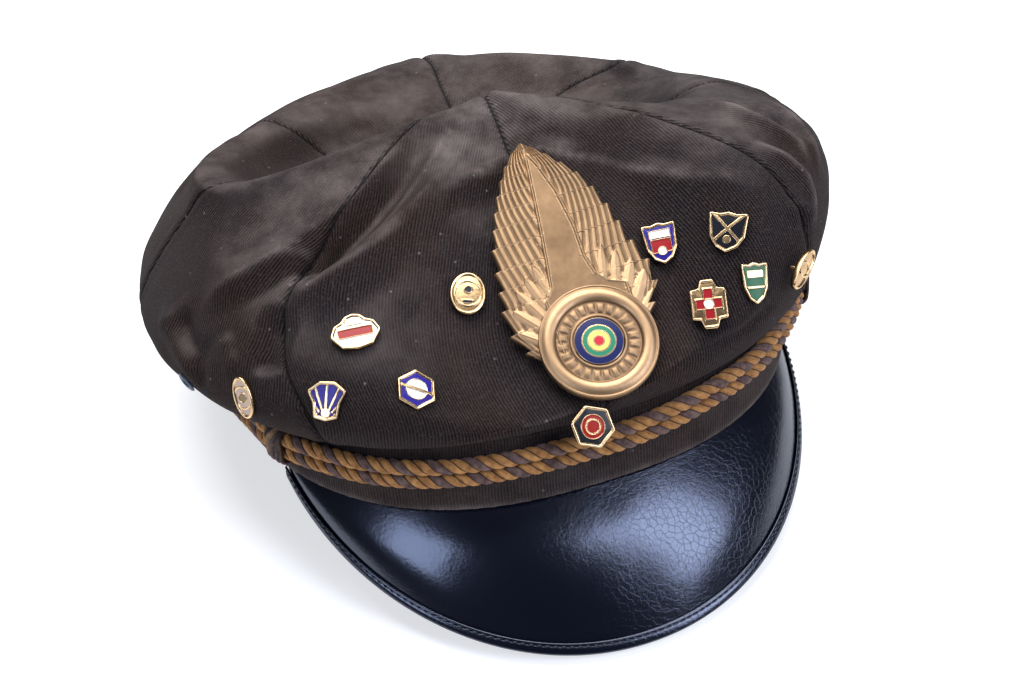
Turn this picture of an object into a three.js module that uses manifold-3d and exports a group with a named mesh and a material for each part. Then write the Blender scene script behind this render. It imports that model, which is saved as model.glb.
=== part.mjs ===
// A soft eight-gore motorcycle cap with a patent leather peak, a doubled gold cord, a brass
// badge and small enamelled pins, lying on a table as it would by itself.
// Millimetres. Each piece is first made in the band's own frame: the band's lower rim is the
// plane z = 0, the front is -Y and +Z is up. The whole cap is then tipped back until the
// peak's tip and the back of the band rest on z = 0.
import * as THREE from 'three';
import { mergeVertices } from 'three/addons/utils/BufferGeometryUtils.js';
import Module from 'manifold-3d';

const wasm = await Module();
wasm.setup();

// Driving dimensions
const GAP = 0.3;
const BAND = { halfWidth: 91, halfLength: 95, squareness: 2.43, height: 25.7, wall: 3 };
const CROWN = { foot: 26, wall: 1.6, hem: 0.24, clear: 0.5 };
const PEAK = {
  halfWidth: 84.9, depth: 99.1, chordY: -35.15, slope: 22, thickness: 2,
  roundness: 2.03, rise: 4, endAngle: 84, innerTurn: 0.75,
};
const BINDING = { reach: 2.5, wall: 0.8, clear: 0.45 };
const CORD = { radius: 2.3, spacing: 4.9, loopRadius: 4.4, runAngle: 84, knotAngle: 58, knotBulge: 1.5,
  tail: 3.5 };
const KNOT = { length: 6.5, wall: 1.2, clear: 0.5 };
const BUTTON = { radius: 5.5, headHeight: 3, shankRadius: 1.5, angle: 90 };
const BADGE = {
  tip: [2, -33, 83], foot: [1, -104, 38.3], sideways: [0.99, 0, 0.13], plate: 1.6, relief: 1.1, tooth: 1.3,
  discX: 1.6, discY: 17.6, discRadius: 17.5, ringWidth: 2.2, dialRadius: 12, enamelRadius: 7.4,
  postHeights: [17.6, 60],
};
// How the cloth is pressed flat behind the badge: depth behind its face, and its reach sideways
const PRESS = { depth: 4.6, half: 25, sideFade: 37, fade: 13, low: 2, high: 86 };

const PIN = { plate: 1.7, rim: 1, field: 0.5, postRadius: 0.6, clutchRadius: 3.6, clutch: 1.6 };
const EYELET = { turn: -68.5, along: 0.19, bore: 1.5, barrel: 2.1, flange: 3.4, rim: 0.7 };

// The crown's seams, one row each, from the front round by the wearer's left.
// Turn is in degrees from the even eighth, reach in mm from the cap's middle, height in mm.
const SEAM_COLUMNS = [
  'under', 'bellyTurn', 'belly', 'bellyUp', 'shoulderTurn', 'shoulder', 'shoulderUp',
  'crestTurn', 'crest', 'crestUp', 'wellTurn', 'well', 'wellUp',
];
const SEAM_ROWS = {
  front: [30, 0, 100.5, 37, -1, 69.5, 56.5, -4, 9, 82, 0, 13, 69],
  front_left: [30, 0, 108.5, 47, 4.5, 86, 75.5, -3, 21, 82, -14, 17, 67],
  left: [25, 4.5, 112, 40.5, 6.5, 98, 55, 1.5, 72, 59.5, -10, 46, 50],
  back_left: [24, -2, 109, 28, -9, 95, 48, 1.5, 62, 43, -13, 32, 43],
  back: [23.5, -4, 111, 30, -9, 92.5, 47.5, -7.5, 61, 46, -11, 23, 44.5],
  back_right: [25.5, -3, 107.5, 33, -6.5, 89.5, 50, -2, 73, 52, 5, 43, 42],
  right: [23, -6, 111, 29.5, -6.5, 93.5, 59, 0, 80, 69, 0, 46, 50],
  front_right: [29, -0.5, 113, 38.5, -13, 91, 60, -25, 22, 79.5, 7, 15, 62],
};
const KNOTS = [0, 0.09, 0.2, 0.45, 0.7, 0.86, 1];
const TOP_CENTRE = { x: 5, y: 8 };
const TIPS = { x: 5, y: 17, z: 47, radius: 1.3 };
const UNDER_SHARE = 0.62;

// The cloth's main folds: ridges stand out and valleys go in. Left and right are the widths on
// either side of the path, walked from its first point, and crisp is how sharp the top is.
// Each path runs through points of turn in degrees and share of the way from band to centre.
const FOLDS = [
  { name: 'slump ridge', height: 6, left: 17, right: 8, crisp: 0.8,
    path: [[-21, 0.664], [-28, 0.63], [-32.5, 0.585], [-35, 0.55], [-37, 0.53], [-39, 0.503],
      [-42, 0.477], [-45, 0.45]] },
  { name: 'slump valley', height: -9, left: 9, right: 12, crisp: 0.2,
    path: [[-27, 0.655], [-32, 0.6], [-36, 0.557], [-39.5, 0.53], [-43, 0.503], [-46, 0.477]] },
  { name: 'side ridge', height: 5, left: 8, right: 15, crisp: 0.7,
    path: [[-42, 0.52], [-47, 0.512], [-50.5, 0.497], [-54, 0.47], [-60, 0.423], [-66, 0.376]] },
  { name: 'cheek valley', height: -3.5, left: 8, right: 8, crisp: 0.2,
    path: [[-46, 0.45], [-46, 0.403], [-48, 0.35], [-49, 0.31]] },
  { name: 'front crease', height: 3, left: 6, right: 12, crisp: 0.9,
    path: [[-34, 0.575], [-25, 0.575], [-17, 0.584], [-2, 0.592], [13, 0.585], [25, 0.55],
      [31, 0.51], [37, 0.445], [40, 0.39]] },
  { name: 'side pleat', height: 3, left: 6, right: 9, crisp: 0.8,
    path: [[69, 0.61], [60, 0.53], [57, 0.48], [56.5, 0.43], [57, 0.38], [54, 0.315]] },
  { name: 'outer pleat', height: 3.5, left: 7, right: 9, crisp: 0.8,
    path: [[74, 0.51], [68, 0.45], [64, 0.39], [59, 0.342], [56, 0.282]] },
  { name: 'seam pleat', height: 2.5, left: 5, right: 7, crisp: 0.8,
    path: [[49, 0.46], [50, 0.396], [51, 0.335], [49, 0.289], [45, 0.242]] },
];

// The pins: where each sits, its outline, its half sizes, its spin and lean in degrees, how far
// its plate hangs below its post and how far it stands off the cloth
const PINS = {
  stepped_red: { turn: -33.2, along: 0.421, outline: 'stepped', half: [7.4, 6], spin: 10 },
  oval_gold: { turn: -16.8, along: 0.474, outline: 'oval', half: [5.2, 6.6], spin: -4 },
  fan_blue: { turn: -40.5, along: 0.285, outline: 'fan', half: [5.8, 5.6], spin: -35 },
  hexagon_blue: { turn: -27.3, along: 0.321, outline: 'hexagon', half: [6.2, 6.2], spin: -24 },
  oval_pale: { turn: -54.5, along: 0.249, outline: 'oval', half: [3.5, 6.2], spin: -11 },
  shield_blue: { turn: 21.5, along: 0.431, outline: 'shield', half: [5.4, 6.8], spin: -26 },
  shield_black: { turn: 30.8, along: 0.375, outline: 'shield', half: [6.2, 6.4], spin: -43 },
  cross_red: { turn: 22.1, along: 0.292, outline: 'cross', half: [5.6, 7.4], spin: -22 },
  shield_green: { turn: 30.4, along: 0.265, outline: 'shield', half: [4.5, 6.4], spin: -16 },
  oval_edge: { turn: 39.2, along: 0.222, outline: 'oval', half: [3.2, 7], spin: -62, stand: 3 },
  hexagon_orange: { turn: -3.6, along: 0.16, outline: 'hexagon', half: [6.8, 6.6], spin: 10, lean: 35,
    drop: 5 },
};

const rad = THREE.MathUtils.degToRad;
const vec = (x, y, z) => new THREE.Vector3(x, y, z);

// The band's oval at a turn from the front, grown outwards by some millimetres
function bandRadius(turn, grow = 0) {
  const across = Math.abs(Math.sin(turn)) / (BAND.halfWidth + grow);
  const along = Math.abs(Math.cos(turn)) / (BAND.halfLength + grow);
  return (across ** BAND.squareness + along ** BAND.squareness) ** (-1 / BAND.squareness);
}

function polar(turn, reach, z, centre = { x: 0, y: 0 }) {
  return vec(centre.x + reach * Math.sin(turn), centre.y - reach * Math.cos(turn), z);
}

// A seam column's value at any turn, on a smooth closed curve through its eight rows
const seamNames = Object.keys(SEAM_ROWS);
function seamValue(column, turn) {
  const step = (2 * Math.PI) / seamNames.length;
  const place = (((turn / step) % 8) + 8) % 8;
  const row = Math.floor(place);
  const f = place - row;
  const at = (k) => SEAM_ROWS[seamNames[(row + k + 8) % 8]][SEAM_COLUMNS.indexOf(column)];
  const [a, b, c, d] = [at(-1), at(0), at(1), at(2)];
  const [second, third] = [2 * a - 5 * b + 4 * c - d, 3 * b - a - 3 * c + d];
  return 0.5 * (2 * b + (c - a) * f + second * f * f + third * f ** 3);
}

// The points that one profile of the crown passes through, from the band to the centre
function profilePoints(turn) {
  const value = (column) => seamValue(column, turn);
  const foot = bandRadius(turn, CROWN.clear);
  const under = foot + UNDER_SHARE * (value('belly') - foot);
  const turned = (column) => turn + rad(value(column));
  return [
    polar(turn, foot, CROWN.foot),
    polar(turn + rad(value('bellyTurn')) / 2, under, value('under')),
    polar(turned('bellyTurn'), value('belly'), value('bellyUp')),
    polar(turned('shoulderTurn'), value('shoulder'), value('shoulderUp')),
    polar(turned('crestTurn'), value('crest'), value('crestUp'), TOP_CENTRE),
    polar(turned('wellTurn'), value('well'), value('wellUp'), TIPS),
    polar(turn, TIPS.radius, TIPS.z, TIPS),
  ];
}

// Smooth curve through the profile points, with each slope taken from its neighbours
function smoothCrown(turn, along) {
  const P = profilePoints(turn);
  const last = P.length - 1;
  const chord = (k) => P[k + 1].clone().sub(P[k]).divideScalar(KNOTS[k + 1] - KNOTS[k]);
  const slope = (k) => {
    if (k === 0) return chord(0);
    if (k === last) return chord(last - 1);
    const before = KNOTS[k] - KNOTS[k - 1];
    const after = KNOTS[k + 1] - KNOTS[k];
    const mixed = chord(k - 1).multiplyScalar(after).add(chord(k).multiplyScalar(before));
    return mixed.divideScalar(before + after);
  };
  let k = 0;
  while (k < last - 1 && along >= KNOTS[k + 1]) k += 1;
  const h = KNOTS[k + 1] - KNOTS[k];
  const s = THREE.MathUtils.clamp((along - KNOTS[k]) / h, 0, 1);
  return P[k].clone().multiplyScalar(2 * s ** 3 - 3 * s * s + 1)
    .addScaledVector(slope(k), (s ** 3 - 2 * s * s + s) * h)
    .addScaledVector(P[k + 1], -2 * s ** 3 + 3 * s * s)
    .addScaledVector(slope(k + 1), (s ** 3 - s * s) * h);
}

function smoothNormal(turn, along) {
  const e = 1e-3;
  const low = Math.max(along - e, 0);
  const high = Math.min(along + e, 1);
  const across = smoothCrown(turn + e, along).sub(smoothCrown(turn - e, along));
  const up = smoothCrown(turn, high).sub(smoothCrown(turn, low));
  return across.cross(up).normalize();
}

// Each fold's path laid on the smooth crown as a chain of short straight steps
const FOLD_STEPS = 5;
const foldLines = FOLDS.map((fold) => {
  const points = [];
  const normals = [];
  for (let k = 0; k < (fold.path.length - 1) * FOLD_STEPS + 1; k += 1) {
    const i = Math.min(Math.floor(k / FOLD_STEPS), fold.path.length - 2);
    const f = k / FOLD_STEPS - i;
    const mix = (c) => fold.path[i][c] * (1 - f) + fold.path[i + 1][c] * f;
    points.push(smoothCrown(rad(mix(0)), mix(1)));
    normals.push(smoothNormal(rad(mix(0)), mix(1)));
  }
  return { ...fold, points, normals };
});

// The height across a fold, at a share of its half width: round bell and crisp peak mixed
function foldShape(x, crisp) {
  const peak = Math.max(1 - Math.hypot(x, 0.12), 0) / 0.88;
  return (1 - crisp) * (1 - x * x) ** 2 + crisp * peak * peak;
}

// How far a fold lifts the cloth at a point, fading at both ends of its path
function foldLift(fold, point) {
  const near = { distance: Infinity };
  const steps = fold.points.length - 1;
  for (let k = 0; k < steps; k += 1) {
    const line = new THREE.Line3(fold.points[k], fold.points[k + 1]);
    const f = line.closestPointToPointParameter(point, true);
    const distance = line.at(f, vec(0, 0, 0)).distanceTo(point);
    if (distance < near.distance) Object.assign(near, { distance, k, share: (k + f) / steps });
  }
  const step = fold.points[near.k + 1].clone().sub(fold.points[near.k]);
  const side = step.cross(point.clone().sub(fold.points[near.k])).dot(fold.normals[near.k]);
  const x = Math.min(near.distance / (side > 0 ? fold.left : fold.right), 1);
  const ends = [near.share, 1 - near.share].map((share) => THREE.MathUtils.smoothstep(share, 0, 0.3));
  return fold.height * foldShape(x, fold.crisp) * ends[0] * ends[1];
}

// The badge's frame: y from its foot to its tip, z out of its face
const badgeFoot = vec(...BADGE.foot);
const badgeY = vec(...BADGE.tip).sub(badgeFoot).normalize();
const badgeZ = vec(...BADGE.sideways).cross(badgeY).normalize();
const badgeFrame = { origin: badgeFoot, x: badgeY.clone().cross(badgeZ), y: badgeY, z: badgeZ };
const badgeLength = badgeFoot.distanceTo(vec(...BADGE.tip));

// How far the badge pushes the cloth back at a point, full behind it and fading round it
function badgePress(point) {
  const offset = point.clone().sub(badgeFrame.origin);
  const [x, y, z] = ['x', 'y', 'z'].map((axis) => offset.dot(badgeFrame[axis]));
  const sideways = 1 - THREE.MathUtils.smoothstep(Math.abs(x), PRESS.half, PRESS.half + PRESS.sideFade);
  const below = THREE.MathUtils.smoothstep(y, PRESS.low - PRESS.fade, PRESS.low);
  const above = 1 - THREE.MathUtils.smoothstep(y, PRESS.high, PRESS.high + PRESS.fade);
  return Math.max(z + PRESS.depth, 0) * sideways * below * above;
}

// The outside of the crown's cloth with its folds, pressed back behind the badge
function crownPoint(turn, along) {
  const point = smoothCrown(turn, along);
  const lift = foldLines.reduce((sum, fold) => sum + foldLift(fold, point), 0);
  const hemmed = THREE.MathUtils.smoothstep(along, 0.02, 0.14);
  point.addScaledVector(smoothNormal(turn, along), lift * hemmed);
  return point.addScaledVector(badgeFrame.z, -badgePress(point));
}

// A closed solid between two grids of points, whose rows may close on themselves
function shellSolid(outer, inner, closed = false) {
  const rows = outer.length;
  const columns = outer[0].length;
  const positions = [outer, inner].flat(2).flatMap((p) => [p.x, p.y, p.z]);
  const id = (side, r, c) => side * rows * columns + r * columns + (c % columns);
  const index = [];
  const quad = (a, b, c, d) => index.push(a, b, c, a, c, d);
  const across = closed ? columns : columns - 1;
  for (let r = 0; r < rows - 1; r += 1) {
    for (let c = 0; c < across; c += 1) {
      quad(id(0, r, c), id(0, r, c + 1), id(0, r + 1, c + 1), id(0, r + 1, c));
      quad(id(1, r, c), id(1, r + 1, c), id(1, r + 1, c + 1), id(1, r, c + 1));
    }
    if (!closed) {
      quad(id(0, r, 0), id(0, r + 1, 0), id(1, r + 1, 0), id(1, r, 0));
      const c = columns - 1;
      quad(id(0, r + 1, c), id(0, r, c), id(1, r, c), id(1, r + 1, c));
    }
  }
  for (let c = 0; c < across; c += 1) {
    quad(id(0, 0, c + 1), id(0, 0, c), id(1, 0, c), id(1, 0, c + 1));
    quad(id(0, rows - 1, c), id(0, rows - 1, c + 1), id(1, rows - 1, c + 1), id(1, rows - 1, c));
  }
  const geometry = new THREE.BufferGeometry();
  geometry.setAttribute('position', new THREE.Float32BufferAttribute(positions, 3));
  geometry.setIndex(index);
  return geometry;
}

// Geometry to solid and back, for joins and cuts
function toSolid(geometry) {
  const bare = geometry.clone();
  bare.deleteAttribute('normal');
  bare.deleteAttribute('uv');
  const merged = mergeVertices(bare, 1e-4);
  return new wasm.Manifold(new wasm.Mesh({
    numProp: 3,
    vertProperties: new Float32Array(merged.attributes.position.array),
    triVerts: new Uint32Array(merged.index.array),
  }));
}

function toGeometry(solid) {
  const mesh = solid.getMesh();
  const geometry = new THREE.BufferGeometry();
  geometry.setAttribute('position', new THREE.Float32BufferAttribute(mesh.vertProperties, 3));
  geometry.setIndex([...mesh.triVerts]);
  return geometry;
}

const join = (...pieces) => pieces.map(toSolid).reduce((sum, piece) => sum.add(piece));

const cap = new THREE.Group();
function addPiece(name, geometry, finish) {
  const mesh = new THREE.Mesh(geometry, new THREE.MeshStandardMaterial(finish));
  mesh.name = name;
  cap.add(mesh);
  return mesh;
}

const finishes = {
  cloth: { color: 0x3a3230, roughness: 0.95, metalness: 0 },
  patent: { color: 0x14161e, roughness: 0.2, metalness: 0 },
  cord: { color: 0xa57034, roughness: 0.8, metalness: 0 },
  thread: { color: 0x3b2626, roughness: 0.85, metalness: 0 },
  brass: { color: 0xaf8c5a, roughness: 0.35, metalness: 1 },
  enamel: { color: 0x22304a, roughness: 0.15, metalness: 0 },
  steel: { color: 0x3c4656, roughness: 0.4, metalness: 1 },
};

// Band: an oval ring of cloth over stiff board
function makeBand() {
  const segments = 64;
  const ring = (grow, z) => Array.from({ length: segments }, (_, k) => {
    const turn = (2 * Math.PI * k) / segments;
    return polar(turn, bandRadius(turn, grow), z);
  });
  const heights = [0, BAND.height];
  addPiece('band', shellSolid(
    heights.map((z) => ring(0, z)), heights.map((z) => ring(-BAND.wall, z)), true), finishes.cloth);
}

// Crown gores: one curved wall of cloth for each eighth, cut where a post or eyelet goes through
const GORE_GRID = { front: 8, back: 6, rows: 17, crowding: 1.2 };
function gorePoint(from, column, columns, along, depth) {
  const span = (2 * Math.PI) / seamNames.length;
  const turn = from + (span * column) / columns;
  const point = crownPoint(turn, along);
  const up = crownPoint(turn, Math.min(along + 0.01, 1)).sub(crownPoint(turn, Math.max(along - 0.01, 0)));
  const side = up.cross(smoothNormal(turn, along)).normalize();
  const hem = column === 0 ? CROWN.hem : column === columns ? -CROWN.hem : 0;
  const inwards = smoothNormal(turn, along).lerp(vec(0, 0, 1), THREE.MathUtils.smoothstep(along, 0.86, 1));
  return point.addScaledVector(side, hem).addScaledVector(inwards.normalize(), -depth);
}

function goreSolid(index) {
  const from = (2 * Math.PI * index) / seamNames.length;
  const columns = index < 2 || index > 5 ? GORE_GRID.front : GORE_GRID.back;
  const { rows, crowding } = GORE_GRID;
  const alongs = Array.from({ length: rows + 1 }, (_, r) => (r / rows) ** crowding);
  const grid = (depth) => alongs.map((along) =>
    Array.from({ length: columns + 1 }, (_, c) => gorePoint(from, c, columns, along, depth)));
  return shellSolid(grid(0), grid(CROWN.wall));
}

const goreNames = seamNames.map((name, k) => `gore_${name}_to_${seamNames[(k + 1) % 8]}`);
const gores = goreNames.map((name, k) => ({ name, geometry: goreSolid(k), cuts: [] }));

// A seat on the crown: the faces that lie under an outline, outside and inside the cloth
const caster = new THREE.Raycaster();
function clothLimits(origin, axis, offsets) {
  const meshes = gores.map((gore) => new THREE.Mesh(gore.geometry,
    new THREE.MeshBasicMaterial({ side: THREE.DoubleSide })));
  const depths = offsets.map((offset) => {
    const from = origin.clone().add(offset).addScaledVector(axis, 15);
    caster.set(from, axis.clone().negate());
    caster.far = 30;
    return caster.intersectObjects(meshes).map((hit) => 15 - hit.distance);
  }).filter((hits) => hits.length > 0);
  return {
    outside: Math.max(...depths.map((hits) => hits[0])),
    inside: Math.min(...depths.map((hits) => hits[hits.length - 1])),
  };
}

// The seat's frame: z out of the cloth, y towards the crown's top
function seatFrame(turn, along) {
  const origin = crownPoint(turn, along);
  const near = 0.02;
  const up = crownPoint(turn, along + near).sub(crownPoint(turn, Math.max(along - near, 0)));
  const side = crownPoint(turn + near, along).sub(crownPoint(turn - near, along));
  const z = side.clone().cross(up).normalize();
  const y = up.addScaledVector(z, -up.dot(z)).normalize();
  return { origin, x: y.clone().cross(z), y, z };
}

// The same seat with its face leaned back towards the crown's top
function leanBack(frame, degrees) {
  const turn = new THREE.Quaternion().setFromAxisAngle(frame.x, -rad(degrees));
  return { ...frame, y: frame.y.clone().applyQuaternion(turn), z: frame.z.clone().applyQuaternion(turn) };
}

function circleOffsets(frame, radius, count) {
  return [vec(0, 0, 0), ...Array.from({ length: count }, (_, k) => {
    const a = (2 * Math.PI * k) / count;
    const sideways = frame.x.clone().multiplyScalar(radius * Math.cos(a));
    return sideways.addScaledVector(frame.y, radius * Math.sin(a));
  })];
}

function rod(radius, low, high, sides) {
  const geometry = new THREE.CylinderGeometry(radius, radius, high - low, sides);
  return geometry.rotateX(Math.PI / 2).translate(0, 0, (low + high) / 2);
}

function placeOn(geometry, frame) {
  const basis = new THREE.Matrix4().makeBasis(frame.x, frame.y, frame.z).setPosition(frame.origin);
  return geometry.applyMatrix4(basis);
}

// Outlines of the pins' plates on a unit square: evenly spaced corners, or the right half of a
// shape that is the same on both sides, from its top down
const evenly = (count, from) => Array.from({ length: count }, (_, k) => {
  const a = from + (2 * Math.PI * k) / count;
  return [Math.cos(a), Math.sin(a)];
});
const bothSides = (half) => [...half.map(([x, y]) => [-x, y]), ...half.filter(([x]) => x > 0).reverse()];
const OUTLINES = {
  oval: evenly(12, 0),
  hexagon: evenly(6, Math.PI / 6),
  stepped: bothSides([[0, 1], [0.3, 0.9], [0.5, 0.62], [0.8, 0.45], [1, -0.1], [0.6, -0.8], [0, -0.95]]),
  shield: bothSides([[0, 0.95], [0.4, 0.85], [0.95, 0.9], [0.85, -0.25], [0.5, -0.75], [0, -1]]),
  fan: bothSides([[0.4, 1], [1, 0.55], [0.7, -0.1], [0.6, -0.85], [0, -1]]),
  cross: bothSides([[0.35, 1], [0.5, 0.65], [0.95, 0.6], [0.95, -0.6], [0.5, -0.65], [0.35, -1]]),
};

function plate(outline, half, low, high, inset = 0) {
  const [width, height] = half.map((size) => size - inset);
  const points = OUTLINES[outline].map(([x, y]) => new THREE.Vector2(x * width, y * height));
  const depth = high - low;
  const geometry = new THREE.ExtrudeGeometry(new THREE.Shape(points), { depth, bevelEnabled: false });
  return geometry.translate(0, 0, low);
}

// Pin: a rimmed plate, its post square through the cloth and the clutch that holds it inside
function makePin(name, pin) {
  const lean = pin.lean ?? 0;
  const seat = seatFrame(rad(pin.turn), pin.along);
  const frame = leanBack(seat, lean);
  const reach = Math.max(...pin.half);
  const drop = pin.drop ?? 0;
  const outside = clothLimits(frame.origin.clone().addScaledVector(frame.y, -drop), frame.z,
    circleOffsets(frame, reach, 12)).outside;
  const inside = clothLimits(seat.origin, seat.z, circleOffsets(seat, PIN.clutchRadius, 8)).inside;
  const low = outside + GAP + (pin.stand ?? 0);
  const top = low + PIN.plate;
  const turned = (geometry) => geometry.rotateZ(rad(pin.spin)).translate(0, -drop, 0);
  const base = turned(plate(pin.outline, pin.half, low, top));
  const field = turned(plate(pin.outline, pin.half, top - PIN.field, top + 1, PIN.rim));
  const clutchTop = inside - GAP;
  const postTop = (low + 0.6) / Math.cos(rad(lean));
  const square = (geometry) => toSolid(geometry.rotateX(rad(lean)));
  const solid = toSolid(base).subtract(toSolid(field))
    .add(square(rod(PIN.postRadius, clutchTop - 0.5, postTop, 6)))
    .add(square(rod(PIN.clutchRadius, clutchTop - PIN.clutch, clutchTop, 8)));
  addPiece(`pin_${name}`, placeOn(toGeometry(solid), frame), finishes.brass);
  return placeOn(rod(PIN.postRadius + GAP, clutchTop, postTop, 8), seat);
}

// Eyelet: a flanged barrel through the cloth that lets air in
function makeEyelet() {
  const frame = seatFrame(rad(EYELET.turn), EYELET.along);
  const limits = clothLimits(frame.origin, frame.z, circleOffsets(frame, EYELET.flange, 12));
  const top = limits.outside + GAP;
  const bottom = limits.inside - GAP;
  const profile = [
    [EYELET.bore, bottom - EYELET.rim], [EYELET.flange, bottom - EYELET.rim], [EYELET.flange, bottom],
    [EYELET.barrel, bottom], [EYELET.barrel, top], [EYELET.flange, top],
    [EYELET.flange - 0.4, top + EYELET.rim], [EYELET.bore, top + EYELET.rim],
    [EYELET.bore, bottom - EYELET.rim],
  ].map(([x, y]) => new THREE.Vector2(x, y));
  const ring = new THREE.LatheGeometry(profile, 14).rotateX(Math.PI / 2);
  addPiece('eyelet_right', placeOn(toGeometry(toSolid(ring)), frame), finishes.steel);
  return placeOn(rod(EYELET.barrel + GAP, bottom, top, 12), frame);
}

// Peak: a curved leather sheet from under the band's rim to its round outer edge
function peakEdge(phi, shrink = 0) {
  const round = (value) => Math.sign(value) * Math.abs(value) ** (2 / PEAK.roundness);
  const across = (PEAK.halfWidth - shrink) * round(Math.sin(phi));
  const depth = (PEAK.depth - shrink) * round(Math.cos(phi));
  const slope = rad(PEAK.slope);
  return vec(across, PEAK.chordY - depth * Math.cos(slope), -depth * Math.sin(slope) - GAP);
}

function peakPoint(phi, v) {
  const turn = phi * PEAK.innerTurn;
  const inner = polar(turn, bandRadius(turn, -BAND.wall), -GAP);
  const outer = peakEdge(phi, BINDING.wall + BINDING.clear);
  const span = outer.distanceTo(inner) / (PEAK.depth / 2);
  const lift = PEAK.rise * Math.sin(Math.PI * v) * Math.min(span, 1);
  const outward = vec(Math.sin(turn), -Math.cos(turn), 1).normalize();
  return inner.lerp(outer, v).addScaledVector(outward, lift);
}

function peakNormal(phi, v) {
  const e = 1e-3;
  const side = peakPoint(phi + e, v).sub(peakPoint(phi - e, v));
  const out = peakPoint(phi, Math.min(v + e, 1)).sub(peakPoint(phi, Math.max(v - e, 0)));
  return out.cross(side).normalize();
}

function makePeak() {
  const [across, out] = [34, 5];
  const end = rad(PEAK.endAngle);
  const at = (r, c, depth) => {
    const phi = -end + (2 * end * c) / across;
    const v = r / out;
    const normal = peakNormal(phi, v).multiplyScalar(v === 0 ? 0 : 1);
    if (v === 0) normal.set(0, 0, 1);
    return peakPoint(phi, v).addScaledVector(normal, -depth);
  };
  const grid = (depth) => Array.from({ length: out + 1 }, (_, r) =>
    Array.from({ length: across + 1 }, (__, c) => at(r, across - c, depth)));
  addPiece('visor', shellSolid(grid(0), grid(PEAK.thickness)), finishes.patent);
}

// Binding: a channel folded over the peak's free edge
function makeBinding() {
  const steps = 34;
  const end = rad(PEAK.endAngle);
  const channel = (lip, side, top, bottom) => (phi) => {
    const edge = peakPoint(phi, 1);
    const normal = peakNormal(phi, 1);
    const out = peakPoint(phi, 1).sub(peakPoint(phi, 0.98)).normalize();
    const at = (w, n) => edge.clone().addScaledVector(out, w).addScaledVector(normal, n);
    return [at(-lip, top), at(side, top), at(side, -bottom), at(-lip, -bottom)];
  };
  const [near, far] = [BINDING.clear, BINDING.clear + BINDING.wall];
  const outside = channel(BINDING.reach, far, far, PEAK.thickness + far);
  const inside = channel(BINDING.reach, near, near, PEAK.thickness + near);
  const phis = Array.from({ length: steps + 1 }, (_, k) => -end + (2 * end * k) / steps);
  const grid = (section) => phis.map((phi) => section(phi));
  addPiece('visor_binding', shellSolid(grid(outside), grid(inside)), finishes.patent);
}

// Cord: two ropes, one above the other, round the front of the band to a button on each side
const CORD_HEIGHTS = [[-90, 14.2], [-50, 15.8], [0, 17.9], [28, 20.6], [48, 21], [70, 17.5], [90, 14.2]];
function cordHeight(degrees) {
  let k = 0;
  while (k < CORD_HEIGHTS.length - 2 && degrees > CORD_HEIGHTS[k + 1][0]) k += 1;
  const [[a, low], [b, high]] = [CORD_HEIGHTS[k], CORD_HEIGHTS[k + 1]];
  return THREE.MathUtils.lerp(low, high, THREE.MathUtils.smootherstep(degrees, a, b));
}

function cordPoint(degrees, rise) {
  const turn = rad(degrees);
  const fromKnot = (Math.abs(degrees) - CORD.knotAngle) / 9;
  const bulge = CORD.knotBulge * Math.exp(-fromKnot * fromKnot);
  return polar(turn, bandRadius(turn, GAP + CORD.radius + bulge), cordHeight(degrees) + rise);
}

function makeRope(name, way) {
  const points = [];
  const spread = (degrees) => {
    const f = THREE.MathUtils.smoothstep(Math.abs(degrees), 66, CORD.runAngle);
    return THREE.MathUtils.lerp(CORD.spacing / 2, CORD.loopRadius, f);
  };
  for (let degrees = -CORD.runAngle; degrees <= CORD.runAngle; degrees += 6) {
    points.push(cordPoint(degrees, way * spread(degrees)));
  }
  const pastButton = BUTTON.angle + CORD.tail;
  const tailPoint = (degrees) => cordPoint(degrees, way * CORD.loopRadius);
  [BUTTON.angle, pastButton].forEach((degrees) => points.push(tailPoint(degrees)));
  [-BUTTON.angle, -pastButton].forEach((degrees) => points.unshift(tailPoint(degrees)));
  const sides = 8;
  const section = Array.from({ length: sides }, (_, k) => {
    const a = (2 * Math.PI * k) / sides;
    return new THREE.Vector2(CORD.radius * Math.cos(a), CORD.radius * Math.sin(a));
  });
  const route = new THREE.CatmullRomCurve3(points);
  const geometry = new THREE.ExtrudeGeometry(new THREE.Shape(section),
    { extrudePath: route, steps: 56, bevelEnabled: false });
  addPiece(name, toGeometry(toSolid(geometry)), finishes.cord);
}

// Keeper knot: a wound sleeve round both ropes
function makeKnot(name, side) {
  const degrees = side * CORD.knotAngle;
  const middle = cordPoint(degrees, 0);
  const along = cordPoint(degrees + 1, 0).sub(cordPoint(degrees - 1, 0)).normalize();
  const out = polar(rad(degrees), 1, 0).normalize();
  out.addScaledVector(along, -out.dot(along)).normalize();
  const up = along.clone().cross(out);
  if (up.z < 0) [up, along].forEach((axis) => axis.negate());
  const inner = [CORD.radius + KNOT.clear, CORD.spacing / 2 + CORD.radius + KNOT.clear];
  const segments = 16;
  const loop = (grow, shift) => Array.from({ length: segments }, (_, k) => {
    const a = (2 * Math.PI * k) / segments;
    const corner = (value) => Math.sign(value) * Math.abs(value) ** 0.6;
    return middle.clone().addScaledVector(out, (inner[0] + grow) * corner(Math.cos(a)))
      .addScaledVector(up, (inner[1] + grow) * corner(Math.sin(a))).addScaledVector(along, shift);
  });
  const places = [-0.5, -0.2, 0.2, 0.5].map((f) => f * KNOT.length);
  const grid = (grow) => places.map((shift, k) => loop(k % 3 === 0 ? grow * 0.75 : grow, shift));
  const geometry = shellSolid(grid(KNOT.wall), places.map((shift) => loop(0, shift)), true);
  addPiece(name, geometry, finishes.thread);
}

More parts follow.
